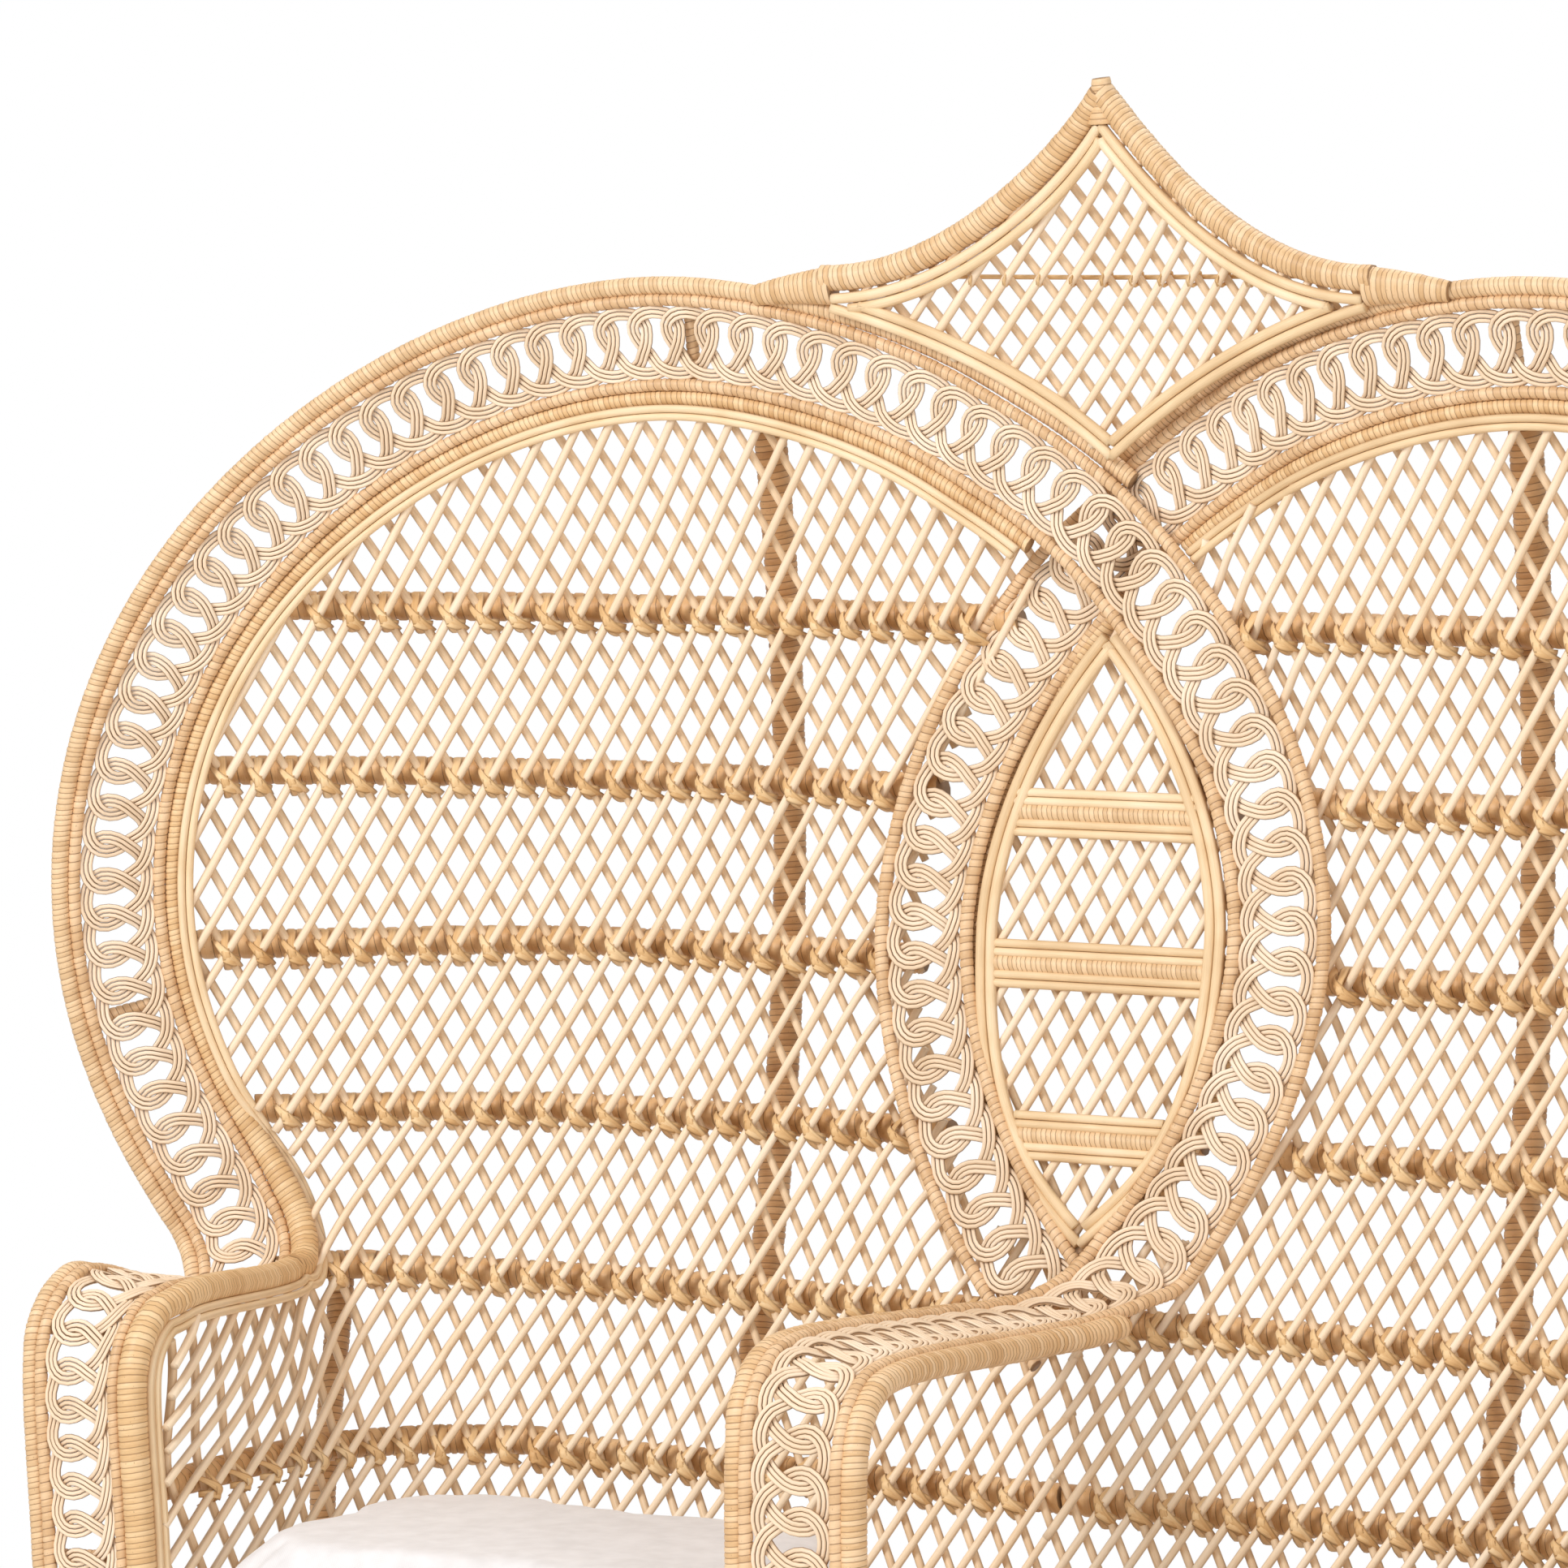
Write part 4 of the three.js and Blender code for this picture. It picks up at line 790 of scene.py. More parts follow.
wall_edge = smooth(np.vstack([edge_points, round_edge[2:]]), False, 8)
wall_shape = np.vstack([wall_edge, [(EDGE_FAR, wall_edge[-1][1]), (EDGE_FAR, LOWEST_Z)]])


def within(shape, a, b):
    inside = np.zeros(np.shape(a), bool)
    for (a0, b0), (a1, b1) in zip(shape, np.roll(shape, -1, 0)):
        if b0 == b1:
            continue
        level = (b0 <= b) != (b1 <= b)
        inside ^= level & (a < a0 + (b - b0) * (a1 - a0) / (b1 - b0))
    return inside


def in_back(run, z):
    x = sheet_across(run, z)
    under_arm = z < ARM_Z + ARM_CLEAR
    clear = (x > LOBE_X) | (other_gap(x, z) > BORDER_CLEAR) | under_arm
    return within(wall_shape, run, z) & clear & (run > np.where(under_arm, SEAT_MIDDLE_X, MIDDLE_X))


def stretches(keep):
    edges = np.flatnonzero(np.diff(np.concatenate([[0], keep.astype(int), [0]])))
    return [(a, b) for a, b in zip(edges[::2], edges[1::2]) if b - a > FEWEST_POINTS]


# Straight sticks of both layers over the height of a panel; front_way is the way in which the front ones lean
def lattice_runs(inside, place, reach, heights, phase, row_z, front_way, slope=STICK_SLOPE):
    runs = []
    z = np.arange(heights[0], heights[1], STICK_FINE)
    most = slope * max(abs(heights[0] - row_z), abs(heights[1] - row_z))
    first = math.floor((reach[0] - most) / STICK_STEP)
    last = math.ceil((reach[1] + most) / STICK_STEP)
    for layer in (1, -1):
        for column in range(first, last):
            a = phase + column * STICK_STEP + layer * front_way * slope * (z - row_z)
            for begin, end in stretches(inside(a, z)):
                pick = np.unique(np.append(np.arange(begin, end, STICK_EVERY), end - 1))
                line, facing = place(a[pick], z[pick], layer)
                stick = plain(line, facing, STICK_R * chance.uniform(0.93, 1.05))
                # Painted shade: the back layer gets a lower tone and so a darker colour, standing in for the
                # shadow of the front layer on it
                stick["tone"] = LAYER_PAINTED_SHADE * (1 + layer) + STICK_UNLIKE * chance.random()
                runs.append(stick)
    return runs


stick_core = drawn_core("rattan_core_drawn_stick", "#d6b48b", "#f4d8b4", "#fdebd2", "#9c7448", 22)
phases = {"left": STICK_PHASE, "right": STICK_STEP - STICK_PHASE}
for name, side in SIDES.items():

    def on_back(run, z, layer):
        x = sheet_across(run, z)
        near = np.where(x < LOBE_X, 1 - ease(other_gap(x, z), *BORDER_EASE), 0)
        line, facing = on_wall(run, z, layer * STICK_LIFT - BORDER_BACK * near)
        return line * MIRRORS[name], facing * MIRRORS[name]

    runs = lattice_runs(in_back, on_back, WALL_REACH, (LOWEST_Z, WALL_TOP), phases[name], ROW_Z, side)
    pole_mesh(f"{name}_back_lattice_sticks", runs, 6, stick_core,
              [f"{name}_back_lattice", f"{name}_arm_lattice"])


# Mouldings: two smooth round cores pinned side by side over the ends of the sticks, along the inner frames.
# They rise from the seat at the arm front, pass under the arm and follow the round back.
STRAND_PAIR = (-0.6, 5.6)
PAIR_R = 3.15
PAIR_LIFT = STICK_LIFT + STICK_R + 1.4
ARM_PAIR = ((-57.0, -12.0), (-58.5, -18.3))
moulding_core = drawn_core("rattan_core_drawn_thick", "#d6b386", "#eed0a5", "#fbe6c6", "#a67d4c", 24)
for name, route in ribbons.items():
    at = np.arange(0, route["at"][-1], ROUTE_STEP)
    middle, _ = on_ribbon(route, at, 0.0, 0.0)
    share = ease(middle[:, 2], *ARM_TO_BACK)
    runs = []
    for inward, (arm_out, arm_lift) in zip(STRAND_PAIR, ARM_PAIR):
        back_out = -(FRAME_EDGE + 2 * FRAME_R + inward)
        line, facing = on_ribbon(route, at, arm_out + (back_out - arm_out) * share,
                                 arm_lift + (PAIR_LIFT - arm_lift) * share)
        stop = before_crossing(line, SIDES[name], FRAME_EDGE)
        runs.append(plain(line[:stop], facing[:stop], PAIR_R))
    pole_mesh(f"{name}_moulding", runs, 10, moulding_core)


# Rails and lashings: six thick poles behind each lattice, loosely wound with broad peel. At each crossing
# strips of the same peel tie the two sticks down to the rail in a small star.
RAIL_R = 11.2
RAIL_LIFT = -(STICK_LIFT + STICK_R + RAIL_R)
RAIL_UP = 5.0
RAIL_STRIP = 9.0
RAIL_LEAN = 2.0
RAIL_UNEVEN = 0.45
RAIL_COUNT = 6
rail_peel = wound_peel("rattan_peel_wound_broad", "#b5834c", "#dcae78", "#f0cc9c", "#5c3a1e", RAIL_STRIP, 64)
lash_peel = drawn_core("rattan_peel_split", "#cb9a60", "#e8c08a", "#f8dcb0", "#8a5c30", 12)
# Each strip of a lashing: across, up, lift from the sheet, and width, from end to end
LASH_OVER = [(-9, 9, -9, 2.5), (-6, 6, 2, 3.6), (-2.5, 2.5, 7.4, 5), (0, 0, 8.6, 6), (3, -3.5, 7.2, 6.5),
             (6, -7.5, 0, 6.5), (8, -10.5, -9, 5)]
LASH_DOWN = [(-1.5, 13, -10, 6.5), (-1.2, 9, -3, 6), (-0.8, 4, 6, 5), (-0.2, 0, 9.2, 5), (1, -4, 7, 6),
             (2, -8.5, -1, 8), (2.5, -11, -9, 8)]
LASH_FAN = [(-5.5, -2.5, -2, 4), (-3, -2.5, 4.4, 5), (0.5, -3.5, 8.2, 6), (5, -5, 4.4, 7), (8, -6, -4, 6)]
LASH_THICK = 0.17
LASH_WIDE = 0.64
LASH_TURN = 0.09
LASH_SIZE = (1.1, 1.28)
# Ways between the ends of a rail and its first and last lashing
LASH_FROM = 24.0
LASH_TO = 16.0


def lashing(place, a, z, way):
    runs = []
    turn = chance.normal(0, LASH_TURN)
    size = chance.uniform(*LASH_SIZE)
    for strip in (LASH_FAN, LASH_OVER, LASH_DOWN):
        rows = smooth(np.array(strip, float), False, 2)
        right = size * (rows[:, 0] * math.cos(turn) - rows[:, 1] * math.sin(turn))
        up = size * (rows[:, 0] * math.sin(turn) + rows[:, 1] * math.cos(turn))
        line, facing = place(a + way * right, z + up, rows[:, 2])
        runs.append(plain(line, facing, LASH_WIDE * rows[:, 3], LASH_THICK))
    return runs


for name, side in SIDES.items():

    def on_side(run, z, lift):
        line, facing = on_wall(run, z, lift)
        return line * MIRRORS[name], facing * MIRRORS[name]

    rails, ties = [], []
    for row in range(RAIL_COUNT):
        row_z = ROW_Z - row * ROW_STEP
        run = np.arange(2, 1150, 4.0)
        rail_z = np.full_like(run, row_z + RAIL_UP)
        begin, end = max(stretches(in_back(run, rail_z)), key=lambda s: s[1] - s[0])
        part = run[begin:end]
        line, facing = on_side(part, rail_z[begin:end], RAIL_LIFT)
        rails.append(wound(line, facing, RAIL_R, RAIL_STRIP, RAIL_LEAN, RAIL_UNEVEN))
        first = math.ceil((part[0] - phases[name]) / STICK_STEP)
        for a in phases[name] + STICK_STEP * np.arange(first, first + 60):
            if part[0] + LASH_FROM < a < part[-1] - LASH_TO:
                ties += lashing(on_side, a, row_z, side)
    replaced = [f"{name}_back_post"]
    pole_mesh(f"{name}_back_rails", rails, 12, rail_peel, replaced)
    pole_mesh(f"{name}_back_lashings", ties, 6, lash_peel, replaced)


# Posts: one thick wound pole stands behind each round back from the floor, nailed to the rails, and a shorter
# one stands at the root of each side arm.
POST_X = {"left": 301.0, "right": 326.0}
POST_R = 12.5
POST_LIFT = -46.0
POST_FOOT = 1.5
POST_TOP = 1292.0
POST_STRAIGHT = SEAT_Z + 179
SIDE_POST_R = 10.0
SIDE_POST_X = 614.0
SIDE_POST_OUT = 14.0
SIDE_POST_OVER = (440.0, 620.0)
SIDE_POST_LIFT = -24.0
SIDE_POST_AHEAD = 16.0
SIDE_POST_TOP = ARM_Z - 14
POST_STRIP = 5.0
post_peel = wound_peel("rattan_peel_wound_brown", "#a57547", "#d0a270", "#eac294", "#5c3a1e", POST_STRIP, 80)
for name, mirror in MIRRORS.items():
    heights = np.arange(POST_FOOT, POST_TOP, 10.0)
    line = on_sheet(POST_X[name], np.maximum(heights, POST_STRAIGHT), POST_LIFT)
    line[:, 2] = heights
    ahead = np.broadcast_to([0.0, -1.0, 0.0], line.shape)
    post = wound(line * mirror, ahead, POST_R, POST_STRIP)
    pole_mesh(f"{name}_back_post", [post], 12, post_peel)
    heights = np.arange(SEAT_Z, SIDE_POST_TOP, 8.0)
    post_x = SIDE_POST_X + SIDE_POST_OUT * ease(heights, *SIDE_POST_OVER)
    line = on_sheet(post_x, np.maximum(heights, SIDE_POST_OVER[0]), SIDE_POST_LIFT)
    line[:, 1] -= SIDE_POST_AHEAD * (1 - ease(heights, *BEND_OVER))
    line[:, 2] = heights
    post = wound(line * mirror, ahead[:len(line)], SIDE_POST_R, POST_STRIP)
    pole_mesh(f"{name}_side_post", [post], 10, post_peel)


# Almond panel: the two borders leave an almond between the backs, with a wound hoop, a lattice of its own and
# a mitred moulding. Three ladder bars cross it, each a wound rod between two pairs of smooth cores.
HOOP_AT = 43.0
HOOP_R = 7.6
HOOP_LIFT = -3.0
ALMOND_CLEAR = 42.0
ALMOND_REACH = (-140.0, 140.0)
ALMOND_HEIGHTS = (560.0, 1180.0)
ALMOND_ANGLES = np.arange(122, 240, 1.5)
ALMOND_PHASE = 4.0
ALMOND_PAIR = (51.6, 60.0)
ALMOND_PAIR_R = 4.25
ALMOND_BACK = -9.0
SLACK_LEAST = 3.0
SLACK_MORE = 14.0
SLACK_OVER = (150.0, 245.0)
SLACK_END = 0.9
BAR_HEIGHTS = (981.0, 868.0, 742.0)
BAR_STRANDS = (-14.8, -8.2, 8.2, 14.8)
BAR_STRAND_R = 3.35
BAR_ROD_R = 7.2
BAR_POINTS = 24
# The rails behind the bars are thinner than those of the backs and reach past the hoop
ALMOND_RAIL_THINNER = 1.5
ALMOND_RAIL_PAST = 22.0
ALMOND_RAIL_UP = 4.0


def in_almond(x, z):
    return (other_gap(x, z) < -ALMOND_CLEAR) & (other_gap(-x, z) < -ALMOND_CLEAR)


# Between the backs the panel is straight across; the sheet is level there for any x below nought
def on_middle(x, z, lift):
    x, z = np.broadcast_arrays(np.asarray(x, float), np.asarray(z, float))
    facing = sheet_facing(np.full_like(z, -200.0), z)
    place = np.stack([x, sheet_depth(np.zeros_like(z), z), z], -1)
    return place + facing * np.broadcast_to(lift + ALMOND_BACK, z.shape)[..., None], facing


# How much nearer to the border the hoop and moulding lie: the almond is blunt above its lower tip
def almond_slack(z):
    below = LOBE_Z - z
    blunt = ease(below, 0, SLACK_OVER[0]) * (1 - SLACK_END * ease(below, *SLACK_OVER))
    return SLACK_LEAST + SLACK_MORE * blunt


# One side of the almond, moved inward from the middle of the border, from the upper tip to the lower one
def almond_side(inward, side, lift):
    angles = np.radians(ALMOND_ANGLES)
    _, z = round_back(angles, -inward)
    x, z = round_back(angles, almond_slack(z) - inward)
    keep = x < 3
    return on_middle(x[keep] * side, z[keep], lift)


hoops = [wound(*almond_side(HOOP_AT, side, HOOP_LIFT), HOOP_R, FRAME_STRIP) for side in SIDES.values()]
pole_mesh("almond_hoop", hoops, 10, frame_peel, ["almond_lattice"])
runs = lattice_runs(in_almond, lambda x, z, layer: on_middle(x, z, layer * STICK_LIFT), ALMOND_REACH,
                    ALMOND_HEIGHTS, ALMOND_PHASE, ROW_Z, 1)
pole_mesh("almond_lattice_sticks", runs, 6, stick_core, ["almond_lattice"])
runs = []
for inward in ALMOND_PAIR:
    runs += [plain(*almond_side(inward, side, PAIR_LIFT), ALMOND_PAIR_R) for side in SIDES.values()]
pole_mesh("almond_moulding", runs, 10, moulding_core)
for number, bar_z in enumerate(BAR_HEIGHTS, 1):
    x = np.arange(-200, 201, 2.0)
    edge = np.maximum(other_gap(x, bar_z), other_gap(-x, bar_z))
    reach = float(x[edge < almond_slack(bar_z) + 2 - ALMOND_PAIR[1]].max())
    across = np.linspace(-reach, reach, BAR_POINTS)
    strands = [plain(*on_middle(across, bar_z + up, PAIR_LIFT - 1), BAR_STRAND_R) for up in BAR_STRANDS]
    pole_mesh(f"almond_bar_{number}", strands, 10, moulding_core)
    rod = wound(*on_middle(across, bar_z, PAIR_LIFT - 4), BAR_ROD_R, RIM_STRIP)
    pole_mesh(f"almond_bar_rod_{number}", [rod], 10, rim_peel, [f"almond_bar_{number}"])
    across = np.linspace(-reach - ALMOND_RAIL_PAST, reach + ALMOND_RAIL_PAST, BAR_POINTS)
    rail = wound(*on_middle(across, bar_z + ALMOND_RAIL_UP, RAIL_LIFT + 2), RAIL_R - ALMOND_RAIL_THINNER,
                 RAIL_STRIP, RAIL_LEAN, RAIL_UNEVEN)
    pole_mesh(f"almond_rail_{number}", [rail], 12, rail_peel)


# Crown: two wound poles bent hollow and bound together at the point, over a lattice that fills the space down
# to the crossing of the borders. Two smooth cores run round inside it, and peel binds its tips to the rims.
CROWN_R = 10.0
CROWN_LIFT = 3.0
CROWN_MID = 11.0
CROWN_HALF = 225.0
CROWN_Z = 1379.0
CROWN_TALL = 135.0
CROWN_CLEAR = 44.0
CROWN_REACH = (-240.0, 240.0)
CROWN_HEIGHTS = (1190.0, 1510.0)
CROWN_PAIR = (14.2, 22.2)
CROWN_PAIR_LOW = (47.4, 55.4)
CROWN_PAIR_R = 4.0
CROWN_PAIR_OVER = 3.0
CROWN_SLOPE = 0.75
CROWN_V_X = 8.0
CROWN_V_ANGLES = np.arange(96, 150, 0.75)
# The sheet's fold between the backs is rounded over this way
FOLD = 45.0
# Binding of the point: heights from the point and radii of its ends
POINT_HEIGHTS = (-22.0, 11.0)
POINT_RADII = (14.0, 7.0)
POINT_POINTS = 10
CANE_Z = 1378.0
CANE_HALF = 176.0
CANE_R = 1.8
CANE_LIFT = -STICK_LIFT - STICK_R - 1.6
# Knots that tie the cane to the sticks: radius of the strip, and half the size across, up and through
KNOT_R = 1.5
KNOT_HALF = (1.5, 5.2, 8.4)
# Wrapped joints: places along the rim from the crown's tip, and half the height of the joint at the tip
JOINT_OVER = (62.0, -4.0)
JOINT_R = 15.0
JOINT_FLAT = 0.76
JOINT_POINTS = 16


def crown_top(x):
    return CROWN_Z + CROWN_TALL * np.maximum(1 - np.abs(x - CROWN_MID) / CROWN_HALF, 0) ** 2


def on_both(x, z, lift):
    x, z = np.broadcast_arrays(np.asarray(x, float), np.asarray(z, float))
    far = np.hypot(x, FOLD)
    facing = unit(sheet_facing(far, z) * np.stack([x / far, np.ones_like(z), np.ones_like(z)], -1))
    place = np.stack([x, sheet_depth(far, z), z], -1)
    return place + facing * np.broadcast_to(lift, z.shape)[..., None], facing


def in_crown(x, z):
    above = np.minimum(other_gap(x, z), other_gap(-x, z))
    return (above > CROWN_CLEAR) & (z < crown_top(x) - 4) & (np.abs(x - CROWN_MID) < CROWN_HALF - 6)


crown_peel = wound_peel("rattan_peel_wound_pale", "#c59a69", "#e6be8d", "#f9dfbc", "#7d5530", RIM_STRIP, 62)
rims, pairs = [], []
for side in SIDES.values():
    out = np.linspace(CROWN_HALF + 3, 0, 60)
    x, top = CROWN_MID + side * out, crown_top(CROWN_MID + side * out)
    rims.append(wound(*on_both(x, top, CROWN_LIFT), CROWN_R, RIM_STRIP))
    for inward in CROWN_PAIR:
        slope = 2 * CROWN_TALL * np.maximum(CROWN_HALF - out, 0) / CROWN_HALF ** 2
        size = np.hypot(slope, 1)
        a, z = out - inward * slope / size, top - inward / size
        place = CROWN_MID + side * np.maximum(a, 0.01)
        above = np.minimum(other_gap(place, z), other_gap(-place, z))
        lowest = CROWN_PAIR_LOW[0] + inward - CROWN_PAIR[0] - CROWN_PAIR_OVER
        keep = (a > -2) & (a < CROWN_HALF - 3) & (above > lowest)
        pairs.append(plain(*on_both(place[keep], z[keep], PAIR_LIFT), CROWN_PAIR_R))
    for inward in CROWN_PAIR_LOW:
        a, z = round_back(np.radians(CROWN_V_ANGLES), inward)
        place = CROWN_V_X + side * np.maximum(a, 0.01)
        highest = crown_top(place) - (inward - CROWN_PAIR_LOW[0] + CROWN_PAIR[0]) + CROWN_PAIR_OVER
        keep = (a > -2) & (z < highest) & (np.abs(place - CROWN_MID) < CROWN_HALF - 3)
        pairs.append(plain(*on_both(place[keep], z[keep], PAIR_LIFT), CROWN_PAIR_R))
point_z = CROWN_Z + CROWN_TALL + np.linspace(*POINT_HEIGHTS, POINT_POINTS)
point = wound(*on_both(CROWN_MID, point_z, CROWN_LIFT), np.linspace(*POINT_RADII, POINT_POINTS), RIM_STRIP,
              0.6, flat=0.8)
pole_mesh("crown_rim", [*rims, point], 10, crown_peel, ["crown_lattice"])
runs = lattice_runs(in_crown, lambda x, z, layer: on_both(x, z, layer * STICK_LIFT), CROWN_REACH,
                    CROWN_HEIGHTS, ALMOND_PHASE, CANE_Z, 1, CROWN_SLOPE)
pole_mesh("crown_lattice_sticks", runs, 6, stick_core, ["crown_lattice"])
pole_mesh("crown_moulding", pairs, 10, moulding_core)
cane = [plain(*on_both(np.linspace(-CANE_HALF, CANE_HALF, 40), CANE_Z, CANE_LIFT), CANE_R)]
for knot_x in ALMOND_PHASE + STICK_STEP * np.arange(-6, 7):
    loop = np.linspace(0, 2 * np.pi, 9)
    wide, tall, deep = KNOT_HALF
    line, facing = on_both(knot_x + wide * np.cos(loop), CANE_Z + tall * np.cos(loop), deep * np.sin(loop))
    cane.append(plain(line, np.gradient(line, axis=0)[:, [1, 2, 0]], KNOT_R))
pole_mesh("crown_cane", cane, 6, lash_peel)
for name, side in SIDES.items():
    x = CROWN_HALF + side * CROWN_MID + np.linspace(*JOINT_OVER, JOINT_POINTS)
    _, rim_z = round_back(np.arccos(-((LOBE_X - x) / LOBE_IN) ** (LOBE_POWER / 2)), RIM_AT)
    rise = np.linspace(0, CROWN_Z - 6 - rim_z[-1], JOINT_POINTS)
    radius = np.linspace(RIM_R + 1, JOINT_R, JOINT_POINTS)
    joint = wound(*on_both(x * side, rim_z + rise, 2.0), radius, RIM_STRIP, 0.3, flat=JOINT_FLAT)
    pole_mesh(f"{name}_crown_joint", [joint], 12, crown_peel)


# Centre arm: the left border runs forward between the seats and down to the seat ring as an open arch.
# A thick wound rail lies along each of its edges; the right one begins in a rounded end at the back.
CENTRE_RAIL_R = 9.6
CENTRE_RAIL_AT = 46.0
CENTRE_RAIL_LIFT = -5.0
# How far ahead of the back each rail begins, and the length of its rounded end
CENTRE_RAIL_FROM = {"left": 60.0, "right": 40.0}
CENTRE_RAIL_END = 10.0
route = ribbons["left"]
back_y = float(sheet_depth(0.0, ARM_Z))
on_arm = (route["line"][:, 0] > -40) & (route["line"][:, 2] < LOBE_Z)
for name, side in SIDES.items():
    begun = on_arm & (route["line"][:, 1] < back_y - CENTRE_RAIL_FROM[name])
    begin = float(route["at"][np.argmax(begun)])
    at = np.arange(begin, route["at"][-1], ROUTE_STEP)
    line, facing = on_ribbon(route, at, side * CENTRE_RAIL_AT / route["wide"][-1], CENTRE_RAIL_LIFT)
    size = CENTRE_RAIL_R * np.sqrt(np.clip((at - begin + 1.0) / CENTRE_RAIL_END, 0.05, 1))
    rail = wound(line, facing, size, RIM_STRIP)
    pole_mesh(f"centre_arm_{name}_rail", [rail], 12, crown_peel)


# Seat and floor rings: wound poles bent into long rounded rings, with a skirt of crossed sticks between them.
# The skirt leans out towards the floor, where a second wound pole carries the chair.
RING_RX = 676.0
RING_RY = 180.0
RING_Z = 330.0
RING_R = 11.5
FLOOR_RX = 706.0
FLOOR_RY = 196.0
FLOOR_Z = 11.8
FLOOR_R = 10.8
RING_MID_Y = BACK_Y - 285
RING_POWER = 5
SKIRT_COUNT = 128
SKIRT_TWIST = 7
SKIRT_POINTS = 15


def rounded(half_x, half_y, turn):
    size = (np.abs(np.cos(turn)) ** RING_POWER + np.abs(np.sin(turn)) ** RING_POWER) ** (-1 / RING_POWER)
    return half_x * size * np.cos(turn), half_y * size * np.sin(turn)


def ring_line(rx, ry, z, count):
    x, y = rounded(rx, ry, np.linspace(0, 2 * np.pi, 1441))
    rows = np.stack([x, RING_MID_Y + y, np.full_like(x, z)], -1)
    long = travelled(rows)
    return sampled(long, np.linspace(0, long[-1], count + 1), rows)


ring_peel = wound_peel("rattan_peel_wound_base", "#b98a58", "#d9ae7c", "#f0cfa6", "#6f4727", POST_STRIP, 72)
seat_size = (RING_RX, RING_RY, RING_Z)
floor_size = (FLOOR_RX, FLOOR_RY, FLOOR_Z)
lower = ring_line(*floor_size, SKIRT_COUNT)
upper = ring_line(*seat_size, SKIRT_COUNT)
places = np.arange(SKIRT_COUNT + 1)
share = np.linspace(0, 1, SKIRT_POINTS)
for name, size, radius, way in (("seat_ring", seat_size, RING_R, 1), ("floor_ring", floor_size, FLOOR_R, -1)):
    line = ring_line(*size, 400)
    up = np.broadcast_to([0.0, 0.0, 1.0], line.shape)
    nodes = [f"{name}_{run}" for run in ("right", "back", "left", "front")]
    pole_mesh(name, [wound(line, up, radius, POST_STRIP)], 12, ring_peel, nodes)
    runs = []
    for i in range(SKIRT_COUNT):
        column = (i + way * SKIRT_TWIST * share) % SKIRT_COUNT
        low = sampled(places, column, lower)
        high = sampled(places, column, upper)
        line = low + (high - low) * share[:, None]
        out_x = (line[:, 0] / RING_RX) ** RING_POWER
        out_y = ((line[:, 1] - RING_MID_Y) / RING_RY) ** RING_POWER
        out = unit(np.stack([out_x, out_y, np.zeros(SKIRT_POINTS)], -1))
        runs.append(plain(line - way * STICK_LIFT * out, out, STICK_R))
    pole_mesh(f"{name}_skirt", runs, 6, stick_core, nodes)


# Legs: six straight rattan poles wound with peel, three under each seat. They stand on the floor behind the
# skirt and are nailed to the underside of the decks.
LEG_R = 12.6
LEG_PLACES = ((510.0, -132.2), (510.0, 27.8), (110.0, -52.2))
LEG_POINTS = 60
for name, side in SIDES.items():
    for number, (x, y) in enumerate(LEG_PLACES, 1):
        heights = np.linspace(POST_FOOT, RING_Z + 9, LEG_POINTS)
        line = np.stack([np.full(LEG_POINTS, side * x), np.full(LEG_POINTS, y), heights], -1)
        ahead = np.broadcast_to([0.0, -1.0, 0.0], line.shape)
        leg = wound(line, ahead, LEG_R, POST_STRIP)
        pole_mesh(f"{name}_leg_{number}", [leg], 12, post_peel)


# Seat decks: thick round cores laid side by side from front to back and nailed inside a bent core.
# They lie on the seat ring and carry the cushions.
DECK_X = 312.0
DECK_Y = RING_MID_Y - 4
DECK_HALF_X = 238.0
DECK_HALF_Y = 175.0
DECK_IN = 7.0
DECK_RIM_R = 6.8
DECK_RIM_Z = SEAT_Z + 7
SLAT_R = 6.1
SLAT_Z = SEAT_Z + 6.6
SLAT_STEP = 12.4
SLAT_POINTS = 12
for name, side in SIDES.items():
    x, y = rounded(DECK_HALF_X - DECK_IN, DECK_HALF_Y - DECK_IN, np.linspace(0, 2 * np.pi, 97))
    line = np.stack([side * DECK_X + x, DECK_Y + y, np.full_like(x, DECK_RIM_Z)], -1)
    runs = [plain(line, np.broadcast_to([0.0, 0.0, 1.0], line.shape), DECK_RIM_R)]
    for x in np.arange(-DECK_HALF_X + 16, DECK_HALF_X - 10, SLAT_STEP):
        short = 1 - abs(x / (DECK_HALF_X - DECK_IN)) ** RING_POWER
        half = (DECK_HALF_Y - DECK_IN - 1) * short ** (1 / RING_POWER)
        y = np.linspace(-half, half, SLAT_POINTS)
        line = np.stack([np.full_like(y, side * DECK_X + x), DECK_Y + y, np.full_like(y, SLAT_Z)], -1)
        runs.append(plain(line, np.broadcast_to([0.0, 0.0, 1.0], line.shape), SLAT_R))
    pole_mesh(f"{name}_seat_deck", runs, 8, moulding_core)


# Seat cushions: loose pads of off-white cotton canvas sewn round a soft filling, which swells them and rounds
# their edges. They lie on the decks and lift off.
CUSHION_X = 312.0
CUSHION_HALF_X = 237.0
CUSHION_HALF_Y = 171.0
CUSHION_LOW = 355.4
CUSHION_FROM = CUSHION_LOW + 4
CUSHION_RISE = 82.0
# Rings of the pad before it swells: share of the full outline and share of the height
CUSHION_SHARES = ((0.93, 0.0), (0.985, 0.1), (1.0, 0.3), (1.0, 0.6), (0.985, 0.8), (0.95, 0.92), (0.8, 1.0))
CUSHION_POINTS = 96
# Size of the cloth's mesh and the furthest that the filling may push it, in metres
CLOTH_FINE = 0.008
MOST_SWELL = 0.018
FILLING_FORCE = 4.0
FILLING_MOMENTS = 20
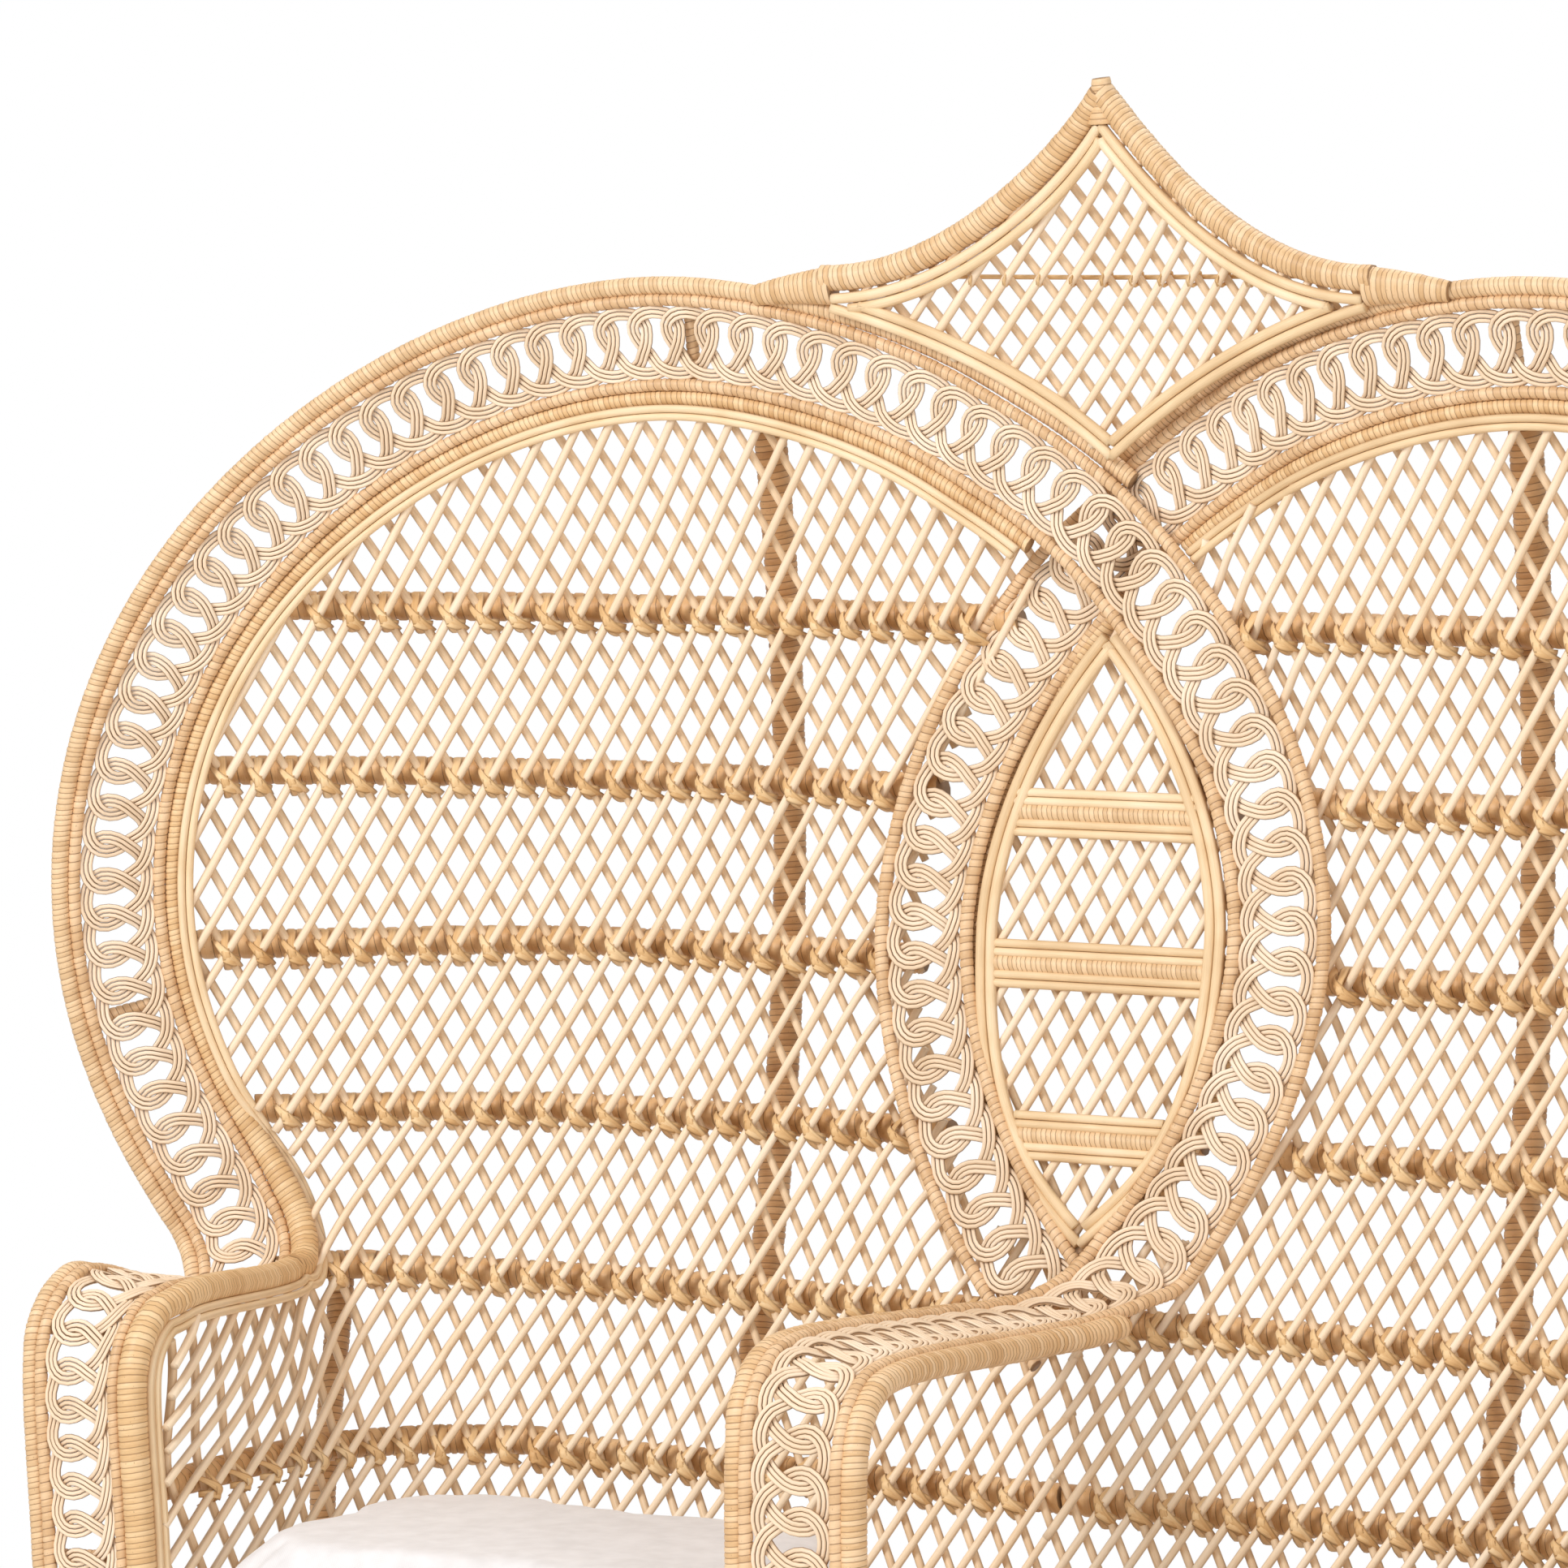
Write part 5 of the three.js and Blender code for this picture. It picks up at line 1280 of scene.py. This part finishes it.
# Cotton canvas: a plain weave of thick threads, matt, with a little fuzz at grazing angles. The threads are
# about 0.6 mm apart and are drawn at 1.6 mm, so that they show; a thick place in a thread is 17 mm long.
THREAD = 1.6
SLUB = 16.67
canvas = bpy.data.materials.new("cotton_canvas_woven")
tree = empty_tree(canvas)
place = node(tree, "ShaderNodeTexCoord")
axes = node(tree, "ShaderNodeSeparateXYZ", {0: place.outputs["Object"]})
threads = []
for axis in (0, 1):
    phase = node(tree, "ShaderNodeMath", {
        0: axes.outputs[axis], 1: 2 * math.pi * 1000 / THREAD}, operation="MULTIPLY")
    wave = node(tree, "ShaderNodeMath", {0: phase.outputs[0]}, operation="SINE")
    threads.append(wave.outputs[0])
weave = node(tree, "ShaderNodeMath", {0: threads[0], 1: threads[1]}, operation="MULTIPLY")
slub = node(tree, "ShaderNodeTexNoise", {
    "Vector": place.outputs["Object"], "Scale": 1000 / SLUB, "Detail": 4.0})
shade = node(tree, "ShaderNodeMath", {
    0: weave.outputs[0], 1: 0.16, 2: slub.outputs[0]}, operation="MULTIPLY_ADD")
fade = node(tree, "ShaderNodeMapRange", {"Value": shade.outputs[0], "From Min": 0.25, "From Max": 0.75})
tint = node(tree, "ShaderNodeMix", {
    0: fade.outputs[0], 6: linear("#e0dcdb"), 7: linear("#eeebeb")}, data_type="RGBA")
rise = node(tree, "ShaderNodeBump", {"Height": shade.outputs[0], "Strength": 0.35, "Distance": 0.0005})
cloth = node(tree, "ShaderNodeBsdfPrincipled", {
    "Base Color": tint.outputs[2], "Roughness": 0.92, "IOR": 1.5, "Sheen Weight": 0.25,
    "Sheen Roughness": 0.5, "Normal": rise.outputs[0]})
node(tree, "ShaderNodeOutputMaterial", {"Surface": cloth.outputs[0]})
for name, side in SIDES.items():
    turn = np.linspace(0, 2 * np.pi, CUSHION_POINTS, endpoint=False)
    x, y = rounded(CUSHION_HALF_X, CUSHION_HALF_Y, turn)
    rows = []
    for share, height in CUSHION_SHARES:
        level = np.full_like(x, CUSHION_FROM + height * CUSHION_RISE)
        rows.append(np.stack([side * CUSHION_X + x * share, RING_MID_Y + y * share, level], -1))
    points = np.vstack(rows) / 1000
    faces = []
    for ring in range(len(rows) - 1):
        faces += band(ring * CUSHION_POINTS, CUSHION_POINTS)
    faces += [tuple(range(CUSHION_POINTS))[::-1], tuple(range(len(points) - CUSHION_POINTS, len(points)))]
    mesh = bpy.data.meshes.new(f"{name}_cushion_pad")
    mesh.from_pydata(points.tolist(), [], faces)
    pad = bpy.data.objects.new(f"{name}_cushion_pad", mesh)
    bpy.context.scene.collection.objects.link(pad)
    bpy.context.view_layer.objects.active = pad
    pad.select_set(True)
    remesh = pad.modifiers.new("even_cloth", "REMESH")
    remesh.mode = "VOXEL"
    remesh.voxel_size = CLOTH_FINE
    bpy.ops.object.modifier_apply(modifier=remesh.name)
    before = np.empty(len(pad.data.vertices) * 3)
    pad.data.vertices.foreach_get("co", before)
    filling = pad.modifiers.new("filling", "CLOTH")
    filling.settings.use_pressure = True
    filling.settings.uniform_pressure_force = FILLING_FORCE
    filling.settings.effector_weights.gravity = 0.0
    filling.settings.quality = 5
    for moment in range(1, FILLING_MOMENTS + 1):
        bpy.context.scene.frame_set(moment)
    bpy.ops.object.modifier_apply(modifier=filling.name)
    bpy.context.scene.frame_set(1)
    after = np.empty(len(pad.data.vertices) * 3)
    pad.data.vertices.foreach_get("co", after)
    moved = (after - before).reshape(-1, 3)
    far = np.linalg.norm(moved, axis=1, keepdims=True)
    placed = before.reshape(-1, 3) + moved * np.minimum(1, MOST_SWELL / np.maximum(far, 1e-9))
    placed[:, 2] = np.maximum(placed[:, 2], CUSHION_LOW / 1000)
    pad.data.vertices.foreach_set("co", placed.ravel())
    pad.data.polygons.foreach_set("use_smooth", [True] * len(pad.data.polygons))
    finer = pad.modifiers.new("finer_cloth", "SUBSURF")
    finer.levels = finer.render_levels = 1
    bpy.ops.object.modifier_apply(modifier=finer.name)
    pad.select_set(False)
    pad.data.materials.append(canvas)
    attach(pad, f"{name}_seat_cushion")
    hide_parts(f"{name}_cushion")
